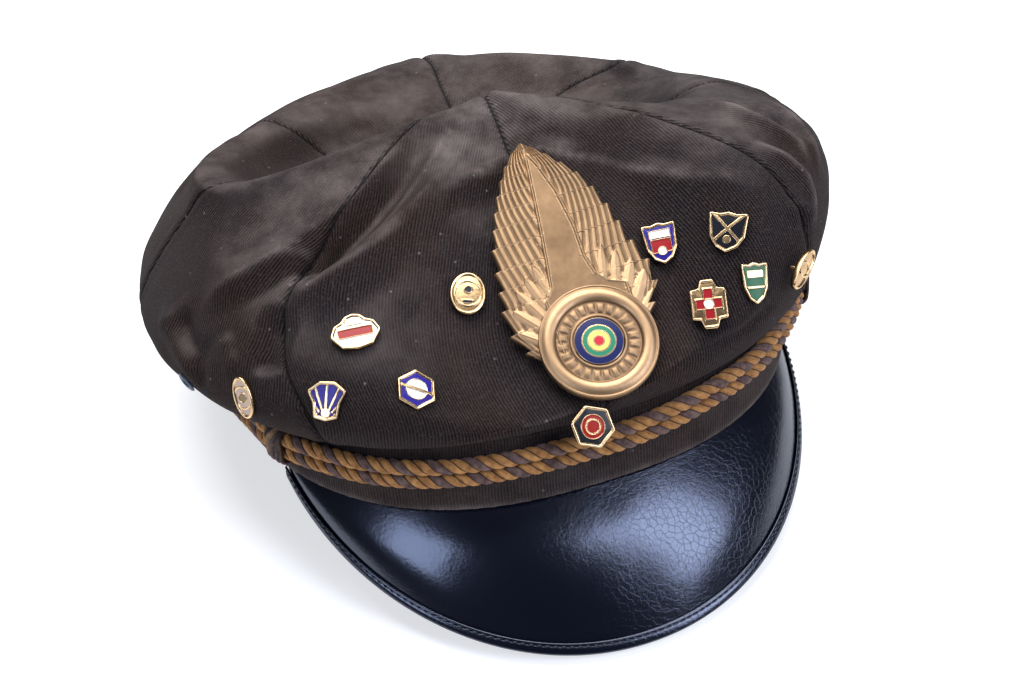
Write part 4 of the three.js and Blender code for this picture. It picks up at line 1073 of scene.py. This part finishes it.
# %% The eleven pins
# name: turn, along, outline, half sizes, spin, lean, drop, ground colour (None is bare metal), shapes
PINS = {
    "stepped_red": (-33.2, 0.421, "stepped", (7.4, 6), 10, 0, 0, "#e9e4da",
                    [("box", (-5, -1.6, 5, 1.2), "#8f1d1b"), ("box", (-2.4, 2.2, 2.4, 4.2), None)]),
    "oval_gold": (-16.8, 0.474, "oval", (5.2, 6.6), -4, 0, 0, None,
                  [("ring", (0, 0, 3.9, 0.25), None), ("disc", (0, 1.2, 1.1), "#1d2230"),
                   ("box", (-1.5, -3.2, 1.5, -2.2), "#1d2230")]),
    "fan_blue": (-40.5, 0.285, "fan", (5.8, 5.6), -35, 0, 0, "#241f74",
                 [("rays", (0, -5, 2.6, 0.35, 2.5), None), ("disc", (0, -3.4, 1.4), None)]),
    "hexagon_blue": (-27.3, 0.321, "hexagon", (6.2, 6.2), -24, 0, 0, "#251d78",
                     [("disc", (0, 0, 3.1), "#e8e6e0"), ("slant", (0.3, 1, 0, 0.5), None)]),
    "oval_pale": (-54.5, 0.249, "oval", (3.5, 6.2), -11, 0, 0, "#c8b0a0",
                  [("ring", (0, 0, 3.2, 0.3), None), ("disc", (0, 0, 1.5), "#8d7a56")]),
    "shield_blue": (21.5, 0.431, "shield", (5.4, 6.8), -26, 0, 0, "#201c76",
                    [("box", (-3.1, 1.6, 3.1, 4.0), "#efefec"),
                     ("box", (-2.9, -3.0, 2.9, 1.1), "#8f1a20"),
                     ("disc", (0, -2.6, 1.3), "#efefec")]),
    "shield_black": (30.8, 0.375, "shield", (6.2, 6.4), -43, 0, 0, "#14161c",
                     [("slant", (0.7, 0.7, 0.6, 0.45), None), ("slant", (-0.7, 0.7, 0.6, 0.45), None),
                      ("disc", (0, -2.4, 1.2), None)]),
    "cross_red": (22.1, 0.292, "cross", (5.6, 7.4), -22, 0, 0, None,
                  [("box", (-1.4, -4.6, 1.4, 4.6), "#8f1a20"),
                   ("box", (-3.8, -1.5, 3.8, 1.5), "#8f1a20"), ("disc", (0, 0, 1.5), "#e8e2d6")]),
    "shield_green": (30.4, 0.265, "shield", (4.5, 6.4), -16, 0, 0, "#1f5a38",
                     [("box", (-2.6, 1.4, 2.6, 3.6), None), ("slant", (0, 1, -1.4, 0.35), None)]),
    "oval_edge": (39.2, 0.222, "oval", (3.2, 7), -62, 0, 0, None, [("ring", (0, 0, 2.2, 0.3), None)]),
    "hexagon_orange": (-3.6, 0.16, "hexagon", (6.8, 6.6), 10, 35, 5, "#15161c",
                       [("disc", (0, 0, 3.5), "#8f1408"), ("ring", (0, 0, 2.1, 0.16), "#e8b06a")]),
}

print("pins in the table:", len(PINS))

# %% Plates, posts and clutches
GILT, POST_METAL = linear("#d9b36a"), linear("#b9b2a4")
PIN_BACK = np.array([(0, -1.7), (0.96, -1.7), (1, -1.45), (1, -0.35), (0.985, -0.12), (0.955, 0)])


def enamel(ground, shapes, x, y):
    """Colour, glass (1 on enamel, 0 on metal) and metal lines exp(-(distance / 0.16)^2) of a face."""
    colour = np.broadcast_to(linear(ground) if ground else GILT, (*x.shape, 4)).copy()
    glass, line = np.full(x.shape, 1.0 if ground else 0.0), np.zeros(x.shape)
    for kind, numbers, hex_code in shapes:
        away = shape_distance(kind, numbers, x, y)
        inside = away < 0
        glass[inside] = 1.0 if hex_code else 0.0
        if hex_code:
            colour[inside] = linear(hex_code)
            line = np.maximum(line * ~inside, np.exp(-(away / 0.16) ** 2))
        else:
            line = np.where(inside, 1.0, line)
    return colour, glass * (line < 0.5), line


def pin_patches(name):
    """A plate, turned in its plane by spin and tipped outwards by lean, and its post and clutch."""
    degrees, along, outline, half, spin, lean, drop, ground, shapes = PINS[name]
    origin, axes = seat(degrees, along)
    tip = np.radians(lean)
    x = axes[0]
    y = axes[1] * np.cos(tip) - axes[2] * np.sin(tip)
    z = axes[2] * np.cos(tip) + axes[1] * np.sin(tip)
    low, _ = packed_reach(f"pin_{name}", origin, axes[2])
    _, top = packed_reach(f"pin_{name}", origin, z)
    radius = outline_radius(outline, half)
    face = np.linspace(1, 0, 46)[:, None]
    share = np.concatenate([PIN_BACK[:, :1] * radius, [radius - 0.62, radius - 0.8],
                            (radius - 0.95) * face])
    px, py = share * np.cos(PIN_ANGLES), share * np.sin(PIN_ANGLES)
    colour, glass, line = enamel(ground, shapes, px[8:], py[8:])
    face_height = -0.42 + 0.18 * (1 - face ** 2) + 0.3 * np.clip(line, 0, 1) * (1 - 0.3 * glass)
    face_height[0], glass[0] = -0.42, 0
    rim_height = np.append(PIN_BACK[:, 1], [0, -0.12])[:, None] + 0 * PIN_ANGLES
    height = np.concatenate([rim_height, face_height])
    all_glass = np.concatenate([0 * rim_height, glass])
    paint = np.concatenate([np.broadcast_to(GILT, (8, len(PIN_ANGLES), 4)), colour])
    relief = np.clip(0.75 + height, 0.05, 1)
    turn = np.radians(spin)
    sx, sy = px * np.cos(turn) - py * np.sin(turn), px * np.sin(turn) + py * np.cos(turn) - drop
    points = origin + sx[..., None] * x + sy[..., None] * y + (top + height)[..., None] * z
    plain = dict(paint=np.broadcast_to(POST_METAL, (1, 1, 4)), glass=np.zeros((1, 1)),
                 relief=np.full((1, 1), 0.9))
    tip_of_post = (top - 1.2) / np.cos(tip)
    post = rounded_profile([(0, low), (3.6, low), (3.6, low + 1.6), (0.62, low + 1.7), (0.6, low + 2.2),
                            (0.6, tip_of_post), (0, tip_of_post)])
    return [patch(points, wrap=True, paint=paint, glass=all_glass, relief=relief),
            turned(post, origin, axes, 24, **plain)]


for name in PINS:
    make_piece(f"enamel_pin_{name}", pin_patches(name), pin_metal, f"pin_{name}", weld=True)

# %% [markdown]
# **Badge.** A large stamped plume: two wings rise on either side of a smooth shaft, and a ringed
# disc sits near the foot. Sculpting would be one way. Here the plume is a relief over its own
# plane, which a numpy grid gives directly. Across each wing a share runs from the shaft's lip, 0,
# to the outline, 1. Seven barbs fit across it, and their count slides outwards by one with every
# tooth of the outline, so that each long barb leaves the shaft low and ends as a tooth higher up.
# The back is closed by bringing each row round behind.

# %% Outline, lips and teeth, x and y from the badge's foot
RIGHT_LINE = np.array([(16.5, 17), (24, 22), (30.5, 25.3), (37.5, 25), (44.5, 22.6), (58, 19.8),
                       (66, 17), (71, 14.4), (75, 11), (79, 7.6), (82, 4.6), (84.6, 1.6)])
LEFT_LINE = np.array([(16.5, -16.5), (21, -20), (27, -22.5), (35, -22.3), (46, -20.2), (54, -18.6),
                      (62.5, -15.5), (69, -12.3), (74, -9.2), (78, -6.4), (82, -2.6), (84.6, 0.8)])
RIGHT_TEETH = np.array([17, 24, 30.5, 37.5, 44.5, 51.5, 58, 64.5, 70.5, 75, 79, 82.4, 86])
LEFT_TEETH = np.array([15, 21, 27, 35, 41, 47, 54, 60, 65, 70, 74.5, 78.5, 82, 86])
RIGHT_LIP = np.array([(16, 15), (32.6, 15.5), (34.5, 11), (38, 8), (44, 6.8), (54, 7.2), (66.6, 6),
                      (76, 3.6), (81, 1.7), (90, 1.6)])
LEFT_LIP = np.array([(16, -9), (33.9, -8.8), (37, -6), (44, -4.6), (54, -2.8), (66.6, -0.8), (76, 0.7),
                     (81, 1.3), (90, 1.2)])
BARBS = 7
# Short leaves that lie over the roots of the barbs: root x, y, tip x, y, half width
COVERTS = np.array([(9, 33, 12.5, 46, 1.5), (12, 31.5, 16, 43, 1.7), (14.5, 29.5, 19.5, 39, 1.8),
                    (16, 26, 22, 34.5, 1.9), (16.5, 21.5, 23.2, 28, 1.8), (-6.5, 34, -8.6, 46, 1.5),
                    (-9, 32.5, -12, 43, 1.7), (-11, 30, -15.8, 39.5, 1.8),
                    (-12.5, 26.5, -18.6, 34, 1.9), (-13, 22, -19.8, 27.5, 1.8)])
DISC_X, DISC_Y, UPPER_POST_Y, BADGE_BACK = 1.6, 17.6, 60, -2.7


def along_line(table, y):
    """The table's x at a height y, straight between its rows."""
    return np.interp(y, table[:, 0], table[:, 1])


def toothed_edge(y, line, teeth):
    """The outline less d (1 - f)^0.7, f from 0 above one tooth to 1 at the next, d 2.6 to 0.5 mm."""
    count = np.interp(y, teeth, np.arange(len(teeth)))
    f = count - np.floor(count)
    depth = np.interp(y, [24, 70, 84], [2.6, 1.4, 0.5])
    edge = along_line(line, y)
    return edge - np.sign(line[0, 1]) * depth * (1 - f) ** 0.7, count

# %% Barbs, short leaves and shaft
def wing_height(x, y, line, teeth, lip):
    """Barb b = 7 share - count: 0.52 sqrt(4 f (1 - f)) + 0.2 f over f = b mod 1, and fine barbules."""
    _, count = toothed_edge(y, line, teeth)
    inner = along_line(lip, y)
    share = np.clip((x - inner) / (along_line(line, y) - inner), 0, 1.02)
    barb = BARBS * share - count
    f = barb - np.floor(barb)
    body = -1.08 + 0.52 * np.sqrt(4 * f * (1 - f)) + 0.2 * f - 0.12 * share
    barbules = 0.018 * np.sin((y + 9 * np.abs(f - 0.45)) * 5) * np.sqrt(4 * f * (1 - f))
    keel = 0.1 * np.exp(-((f - 0.45) / 0.07) ** 2)
    return body + barbules + keel


def covert_height(x, y):
    """Highest short leaf at each point: sqrt(1 - (w / W)^2) across, W narrowing to the tip."""
    best = np.full(x.shape, -9.0)
    for order, (rx, ry, tx, ty, half) in enumerate(COVERTS):
        length = np.hypot(tx - rx, ty - ry)
        ux, uy = (tx - rx) / length, (ty - ry) / length
        l = ((x - rx) * ux + (y - ry) * uy) / length
        w = (x - rx) * uy - (y - ry) * ux
        width = half * np.sqrt(np.clip(1 - np.maximum(l - 0.45, 0) ** 2 / 0.3025, 0, 1))
        inside = (np.abs(w) < width) & (l > -0.05) & (l < 1)
        q = np.clip(np.abs(w) / np.maximum(width, 1e-6), 0, 1)
        height = -0.75 + 0.4 * np.sqrt(1 - q ** 2) + 0.1 * np.exp(-(w / 0.2) ** 2) + 0.25 * l
        best = np.where(inside & (height > best), height, best)
    return best


def plume_height(x, y):
    """Wings, coverts over them, and the smooth shaft between its two lips on top."""
    left, right = along_line(LEFT_LIP, y), along_line(RIGHT_LIP, y)
    wings = np.where(x > (left + right) / 2, wing_height(x, y, RIGHT_LINE, RIGHT_TEETH, RIGHT_LIP),
                     wing_height(x, y, LEFT_LINE, LEFT_TEETH, LEFT_LIP))
    wings = np.maximum(wings, covert_height(x, y))
    across = np.clip((x - left) / (right - left), 0, 1)
    inside = (x > left) & (x < right)
    shaft = np.where(inside, -0.5 + 0.1 * (2 * across - 1) ** 2, -9)
    near = np.minimum(np.abs(x - left), np.abs(x - right))
    lips = -0.95 + 0.95 * np.exp(-(near / 0.62) ** 2) * (1 - smoothstep(y, 79, 82))
    return np.maximum(np.maximum(np.where(inside, shaft, wings), lips), -1.25)


# %% Plume relief
plume_rows = np.linspace(16.5, 84.4, 300)
left_line, _ = toothed_edge(plume_rows, LEFT_LINE, LEFT_TEETH)
right_line, _ = toothed_edge(plume_rows, RIGHT_LINE, RIGHT_TEETH)
share = np.linspace(0, 1, 240)
plume_x = left_line[:, None] + (right_line - left_line)[:, None] * share
plume_y = np.broadcast_to(plume_rows[:, None], plume_x.shape)
plume_z = plume_height(plume_x, plume_y)
relief = np.clip((plume_z + 1.15) / 0.95, 0, 1)
past_left = plume_x > along_line(LEFT_LIP, plume_y) + 0.8
short_of_right = plume_x < along_line(RIGHT_LIP, plume_y) - 0.8
relief = np.where(past_left & short_of_right, 0.25, relief)
edge_fall = np.minimum(plume_x - left_line[:, None], right_line[:, None] - plume_x)
plume_z = plume_z - 0.5 * np.exp(-(edge_fall / 0.35) ** 2)


def on_badge(x, y, z):
    """Badge plane to level millimetres: foot + x X + y Y + z Z."""
    x, y, z = np.broadcast_arrays(x, y, z)
    return BADGE_FOOT + np.stack([x, y, z], -1) @ badge_axes


ring_x = np.concatenate([plume_x, right_line[:, None], left_line[:, None]], 1)
ring_z = np.pad(plume_z, ((0, 0), (0, 2)), constant_values=BADGE_BACK)
plume = patch(on_badge(ring_x, plume_rows[:, None], ring_z), wrap=True, caps=True,
              relief=np.pad(relief, ((0, 0), (0, 2)), constant_values=0.3))

# %% [markdown]
# The disc is turned: a flange, a broad round rim that catches the light, and a sunk dial whose
# ribs stand out like reeding. The enamel in its centre is plain rings of colour, made as its own
# piece, and the two posts with their clutches go with the plume.

# %% Disc, posts and enamel centre
disc_profile = rounded_profile([(0, BADGE_BACK), (17.3, BADGE_BACK), (17.5, -0.6), (17.3, 0.2),
                                (16.95, 0.3), (16.6, 0.05), (16.2, 0.3), (15.4, 0.72), (14.4, 0.85),
                                (13.4, 0.7), (12.7, 0.3), (12.4, -0.45), (8.6, -0.45), (8.2, 0.05),
                                (7.6, 0.05), (7.4, -0.8), (0, -0.8)], steps=6, bend=0.5)
REEDS, ENAMEL_RADIUS = 24, 7.15
RINGS = (1.6, 3.2, 4.8)
disc_origin = BADGE_FOOT + np.array([DISC_X, DISC_Y, 0]) @ badge_axes


def dial_patch():
    """The turned disc, with reeds of smoothstep(|sin 12 a|) raised by 0.4 mm on its sunk ring."""
    steps = zip(disc_profile[:-1], disc_profile[1:])
    fine = np.concatenate([np.linspace(a, b, 5)[:-1] for a, b in steps] + [disc_profile[-1:]])
    part = turned(fine, disc_origin, badge_axes, 256)
    r, h = fine.T
    a = np.linspace(0, 2 * np.pi, 256, endpoint=False)
    face = (h > -0.6)[:, None]
    reed = smoothstep(r, 8.7, 9.1) * (1 - smoothstep(r, 11.5, 12.1))
    rib = smoothstep(np.abs(np.sin(a * REEDS / 2)), 0.25, 0.75)
    lift = 0.4 * reed[:, None] * rib * face
    part["points"] = part["points"] + lift[..., None] * badge_axes[2]
    level = np.interp(h, [BADGE_BACK, -0.8, -0.3, 0.3, 1.0], [0.3, 0.15, 0.35, 0.7, 1.0])
    part["values"] = dict(relief=np.clip(level[:, None] + 0.5 * lift, 0, 1))
    return part


def badge_post(height):
    """A post behind the badge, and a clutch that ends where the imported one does."""
    origin = BADGE_FOOT + np.array([DISC_X, height, 0]) @ badge_axes
    x, y, z = ((packed_points("badge") - BADGE_FOOT) @ badge_axes.T).T
    inside = z[np.hypot(x - DISC_X, y - height) < 4].min()
    profile = rounded_profile([(0, inside), (3.6, inside), (3.6, inside + 1.6), (1.05, inside + 1.7),
                               (1.0, inside + 2.2), (1.0, -2.4), (0, -2.4)])
    return turned(profile, origin, badge_axes, 24, relief=np.full((1, 1), 0.6))


make_piece("feather_badge", [plume, dial_patch(), badge_post(DISC_Y), badge_post(UPPER_POST_Y)],
           aged_brass, "badge")

enamel_r = np.linspace(ENAMEL_RADIUS, 0, 40)
dome = -0.05 + 0.25 * (1 - (enamel_r / ENAMEL_RADIUS) ** 2)
enamel_profile = np.concatenate([[[0, -0.75], [7.2, -0.75], [7.2, -0.2]],
                                 np.stack([enamel_r, dome], -1)])
ring_colours = np.array([linear(c) for c in ("#b8323a", "#d8c66a", "#2f7a5c", "#1d2450")])
pick = np.digitize(enamel_profile[:, 0], RINGS)
paint = np.broadcast_to(ring_colours[pick][:, None], (len(pick), 96, 4))
gilt_line = np.min(np.abs(enamel_profile[:, :1] - [*RINGS, 7.2]), 1) < 0.16
rings = turned(enamel_profile, disc_origin, badge_axes, 96, paint=paint,
               glass=1.0 - gilt_line[:, None], relief=np.full((1, 1), 0.8))
make_piece("badge_enamel_rings", [rings], pin_metal, "badge_enamel", weld=True)

# %% [markdown]
# **Table, light and camera.** The cap stands on an opal light table that glows faintly, which keeps
# the ground white and the shadows soft. A large soft light hangs overhead, and the lacquer mirrors
# two panels in front. The camera looks down at about 45 degrees from the front with a 28 degree
# lens, from the place that the cap was drawn from.

# %% Table
def make_floor():
    """Twelve metres square, glowing at 0.58 of full white."""
    mesh = bpy.data.meshes.new("table_top")
    mesh.from_pydata([(-6, -6, 0), (6, -6, 0), (6, 6, 0), (-6, 6, 0)], [], [(0, 1, 2, 3)])
    floor = bpy.data.objects.new("table_top", mesh)
    bpy.context.scene.collection.objects.link(floor)
    finish, tree = new_finish("opal_light_table")
    shader = add_node(tree, "BsdfPrincipled", {
        "Base Color": linear("#c4c4c4"), "Roughness": 0.9, "Emission Color": linear("#ffffff"),
        "Emission Strength": 0.58})
    add_node(tree, "OutputMaterial", {"Surface": shader.outputs[0]})
    mesh.materials.append(finish)


make_floor()

# %% Lights
def soft_light(name, place, target, size, power, colour="#ffffff"):
    """An area light, its width and height in size, aimed from a place at a target, all in metres."""
    data = bpy.data.lights.new(name, "AREA")
    data.shape, data.size, data.size_y, data.energy = "RECTANGLE", *size, power
    data.color = linear(colour)[:3]
    light = bpy.data.objects.new(name, data)
    back = unit(np.array(place, float) - target)
    side = unit(np.cross([0, 0, 1], back) + [1e-6, 0, 0])
    turned_axes = np.stack([side, np.cross(back, side), back], 1)
    light.matrix_world = Matrix([[*row, p] for row, p in zip(turned_axes, place)] + [[0, 0, 0, 1]])
    bpy.context.scene.collection.objects.link(light)


world = bpy.data.worlds.new("studio")
world.use_nodes = True
backdrop = world.node_tree.nodes["Background"].inputs
backdrop["Color"].default_value, backdrop["Strength"].default_value = linear("#f4f5f8"), 0.07
bpy.context.scene.world = world
middle = np.array([0, 0, 0.05])
soft_light("overhead", (0.05, 0.6, 1.25), middle, (1.2, 1.2), 38)
for name, way, size, power, colour in (
        ("left_panel", (-0.66, -0.36, 0.6), (0.44, 0.7), 5.8, "#d8e4ff"),
        ("right_panel", (0.48, -0.56, 0.62), (0.46, 1.0), 13.5, "#e2eaff")):
    soft_light(name, middle + 1.25 * unit(np.array(way)), middle, size, power, colour)
bpy.context.scene.view_settings.view_transform = "Standard"

# %% Camera
CAMERA_TURN = np.array([[0.92803, -0.37251, 0.0], [0.26471, 0.65949, 0.70357],
                        [-0.26208, -0.65293, 0.71063]])
CAMERA_SHIFT, CAMERA_REACH, CAMERA_TILT = (-7.5549, 8.6540), 682.531, 0.16564068
eye = CAMERA_TURN.T @ np.array([-CAMERA_SHIFT[0], -CAMERA_SHIFT[1], CAMERA_REACH])
to_drawing = np.array([[1, 0, 0], [0, np.cos(CAMERA_TILT), -np.sin(CAMERA_TILT)],
                       [0, np.sin(CAMERA_TILT), np.cos(CAMERA_TILT)]])
camera_data = bpy.data.cameras.new("camera")
camera_data.sensor_fit, camera_data.sensor_width = "HORIZONTAL", 36
camera_data.angle = np.radians(28.0)
camera_data.clip_start, camera_data.clip_end = 0.01, 20
camera = bpy.data.objects.new("camera", camera_data)
camera_place = to_rest(to_drawing @ eye)
camera_axes = turn_back @ to_drawing @ CAMERA_TURN.T
camera.matrix_world = Matrix([[*row, p] for row, p in zip(camera_axes, camera_place)] + [[0, 0, 0, 1]])
bpy.context.scene.collection.objects.link(camera)
bpy.context.scene.camera = camera
print("camera at", np.round(camera_place, 3), "m")
